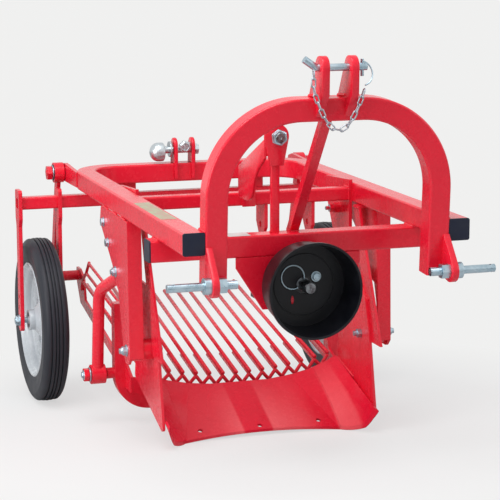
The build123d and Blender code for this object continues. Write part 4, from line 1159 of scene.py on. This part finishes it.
for side, side_name in ((-1, "left"), (1, "right")):
    middle = wheel_x, wheel_y, wheel_z = on_side(side, WHEEL_PLACE)
    outward = (side, 0, 0)
    body = "wheel_" + side_name
    tyre_parts = [turned(whole_outline, middle, outward, 128)]
    tyre = made_piece("ribbed_tyre_" + side_name, tyre_parts, tyre_rubber, body, 40)
    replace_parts(tyre, "tyre_" + side_name)
    rim_parts = [turned(RIM_OUTLINE, middle, outward, 96)]
    for k in range(RIM_BOLTS):
        turn = tau * (k + 0.3) / RIM_BOLTS
        y, z = wheel_y + RIM_BOLT_RING * cos(turn), wheel_z + RIM_BOLT_RING * sin(turn)
        rim_parts.append(turned(RIM_BOLT, (wheel_x - side * RIM_BOLT_INSET, y, z), outward, 6, turn))
    rim = made_piece("pressed_rim_" + side_name, rim_parts, grey_lacquer, body, 30)
    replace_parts(rim, "rim_" + side_name)

# Rubber bushes of the rear links: black sleeves pressed into the upper eyes, their edges
# showing as a ring on each side.
bush_rubber = moulded("bush_rubber", (0.010, 0.010, 0.012, 1), 600.0, 0.45, 0.65)
BUSH_X = (404.0, 436.0)
BUSH_AT = (1430.0, -30.0)
BUSH_LIP = [(10.2, -3.0), (27.0, -3.0), (28.0, -0.5), (26.0, 0.9), (10.2, 0.9)]
for side, side_name in ((-1, "left"), (1, "right")):
    bush_parts = []
    for x, way in ((BUSH_X[1], 1), (BUSH_X[0], -1)):
        bush_parts.append(turned(BUSH_LIP, (side * x, *BUSH_AT), (side * way, 0, 0), 40))
    made_piece("link_bush_" + side_name, bush_parts, bush_rubber, "rear_arm_" + side_name)

# The studio: a pale floor whose soft shadows fade into a background of the same tone, one
# large soft light above and in front, a weaker one on each side.
BACKGROUND = (0.872, 0.872, 0.866, 1)
FADE_FROM = 0.9
FADE_TO = 1.5
FLOOR_HALF = 14.0
floor_material, tree, shader = surface("studio_floor")
tree.nodes.remove(shader)
bounce = tree.nodes.new("ShaderNodeBsdfDiffuse")
bounce.inputs["Color"].default_value = (0.62, 0.62, 0.62, 1)
lit = tree.nodes.new("ShaderNodeBsdfDiffuse")
lit.inputs["Color"].default_value = (0.24, 0.24, 0.24, 1)
glow = tree.nodes.new("ShaderNodeEmission")
glow.inputs["Strength"].default_value = 0.60
near_floor = tree.nodes.new("ShaderNodeAddShader")
far_floor = tree.nodes.new("ShaderNodeEmission")
far_floor.inputs["Color"].default_value = BACKGROUND
seen_floor = tree.nodes.new("ShaderNodeMixShader")
any_ray = tree.nodes.new("ShaderNodeMixShader")
seen = tree.nodes.new("ShaderNodeLightPath")
distance = tree.nodes.new("ShaderNodeVectorMath")
distance.operation = "LENGTH"
links(
    tree,
    (tree.nodes.new("ShaderNodeTexCoord").outputs["Object"], distance.inputs[0]),
    (lit.outputs[0], near_floor.inputs[0]),
    (glow.outputs[0], near_floor.inputs[1]),
    (spread(tree, distance.outputs["Value"], FADE_FROM, FADE_TO, 0.0, 1.0), seen_floor.inputs[0]),
    (near_floor.outputs[0], seen_floor.inputs[1]),
    (far_floor.outputs[0], seen_floor.inputs[2]),
    (seen.outputs["Is Camera Ray"], any_ray.inputs[0]),
    (bounce.outputs[0], any_ray.inputs[1]),
    (seen_floor.outputs[0], any_ray.inputs[2]),
    (any_ray.outputs[0], tree.nodes["Material Output"].inputs["Surface"]),
)
floor_mesh = bpy.data.meshes.new("studio_floor")
floor_mesh.from_pydata(
    [(x * FLOOR_HALF, y * FLOOR_HALF, 0) for x, y in ((-1, -1), (1, -1), (1, 1), (-1, 1))], [], [(0, 1, 2, 3)]
)
floor = bpy.data.objects.new("studio_floor", floor_mesh)
floor_mesh.materials.append(floor_material)
bpy.context.collection.objects.link(floor)

world = bpy.data.worlds.new("studio")
bpy.context.scene.world = world
world.use_nodes = True
sky_tree = world.node_tree
dim = sky_tree.nodes["Background"]
dim.inputs["Color"].default_value = (1, 1, 1, 1)
dim.inputs["Strength"].default_value = 0.50
white = sky_tree.nodes.new("ShaderNodeBackground")
white.inputs["Color"].default_value = BACKGROUND
white.inputs["Strength"].default_value = 1.0
ray = sky_tree.nodes.new("ShaderNodeLightPath")
straight = sky_tree.nodes.new("ShaderNodeMath")
straight.operation = "MAXIMUM"
choose = sky_tree.nodes.new("ShaderNodeMixShader")
links(
    sky_tree,
    (ray.outputs["Is Camera Ray"], straight.inputs[0]),
    (ray.outputs["Is Glossy Ray"], straight.inputs[1]),
    (straight.outputs[0], choose.inputs[0]),
    (dim.outputs[0], choose.inputs[1]),
    (white.outputs[0], choose.inputs[2]),
    (choose.outputs[0], sky_tree.nodes["World Output"].inputs["Surface"]),
)

LAMP_AIM = Vector((0, 0, 0.45))
LAMPS = (
    # name, place (m), size (m), power (W)
    ("overhead", (-1.2, -1.6, 4.2), 3.2, 132),
    ("left_side", (-4.2, -1.6, 1.8), 2.6, 100),
    ("right_side", (3.8, -2.6, 2.0), 2.4, 34),
)
for name, at, size, power in LAMPS:
    lamp = bpy.data.lights.new(name, "AREA")
    lamp.shape = "DISK"
    lamp.size = size
    lamp.energy = power
    lamp_object = bpy.data.objects.new(name, lamp)
    lamp_object.location = at
    lamp_object.rotation_euler = (LAMP_AIM - Vector(at)).to_track_quat("-Z", "Y").to_euler()
    bpy.context.collection.objects.link(lamp_object)

# The photographer's camera: a long lens a little above the hitch, left of the machine, at the
# place and turn that the photograph was fitted to.
camera_data = bpy.data.cameras.new("photo_camera")
camera_data.sensor_width = 36.0
camera_data.lens = 129.6
camera = bpy.data.objects.new("photo_camera", camera_data)
camera.location = (-1.6273, -5.1687, 1.2155)
camera.rotation_euler = (radians(82.856), radians(1.117), radians(-17.904))
bpy.context.collection.objects.link(camera)
bpy.context.scene.camera = camera
bpy.context.scene.view_settings.view_transform = "Standard"
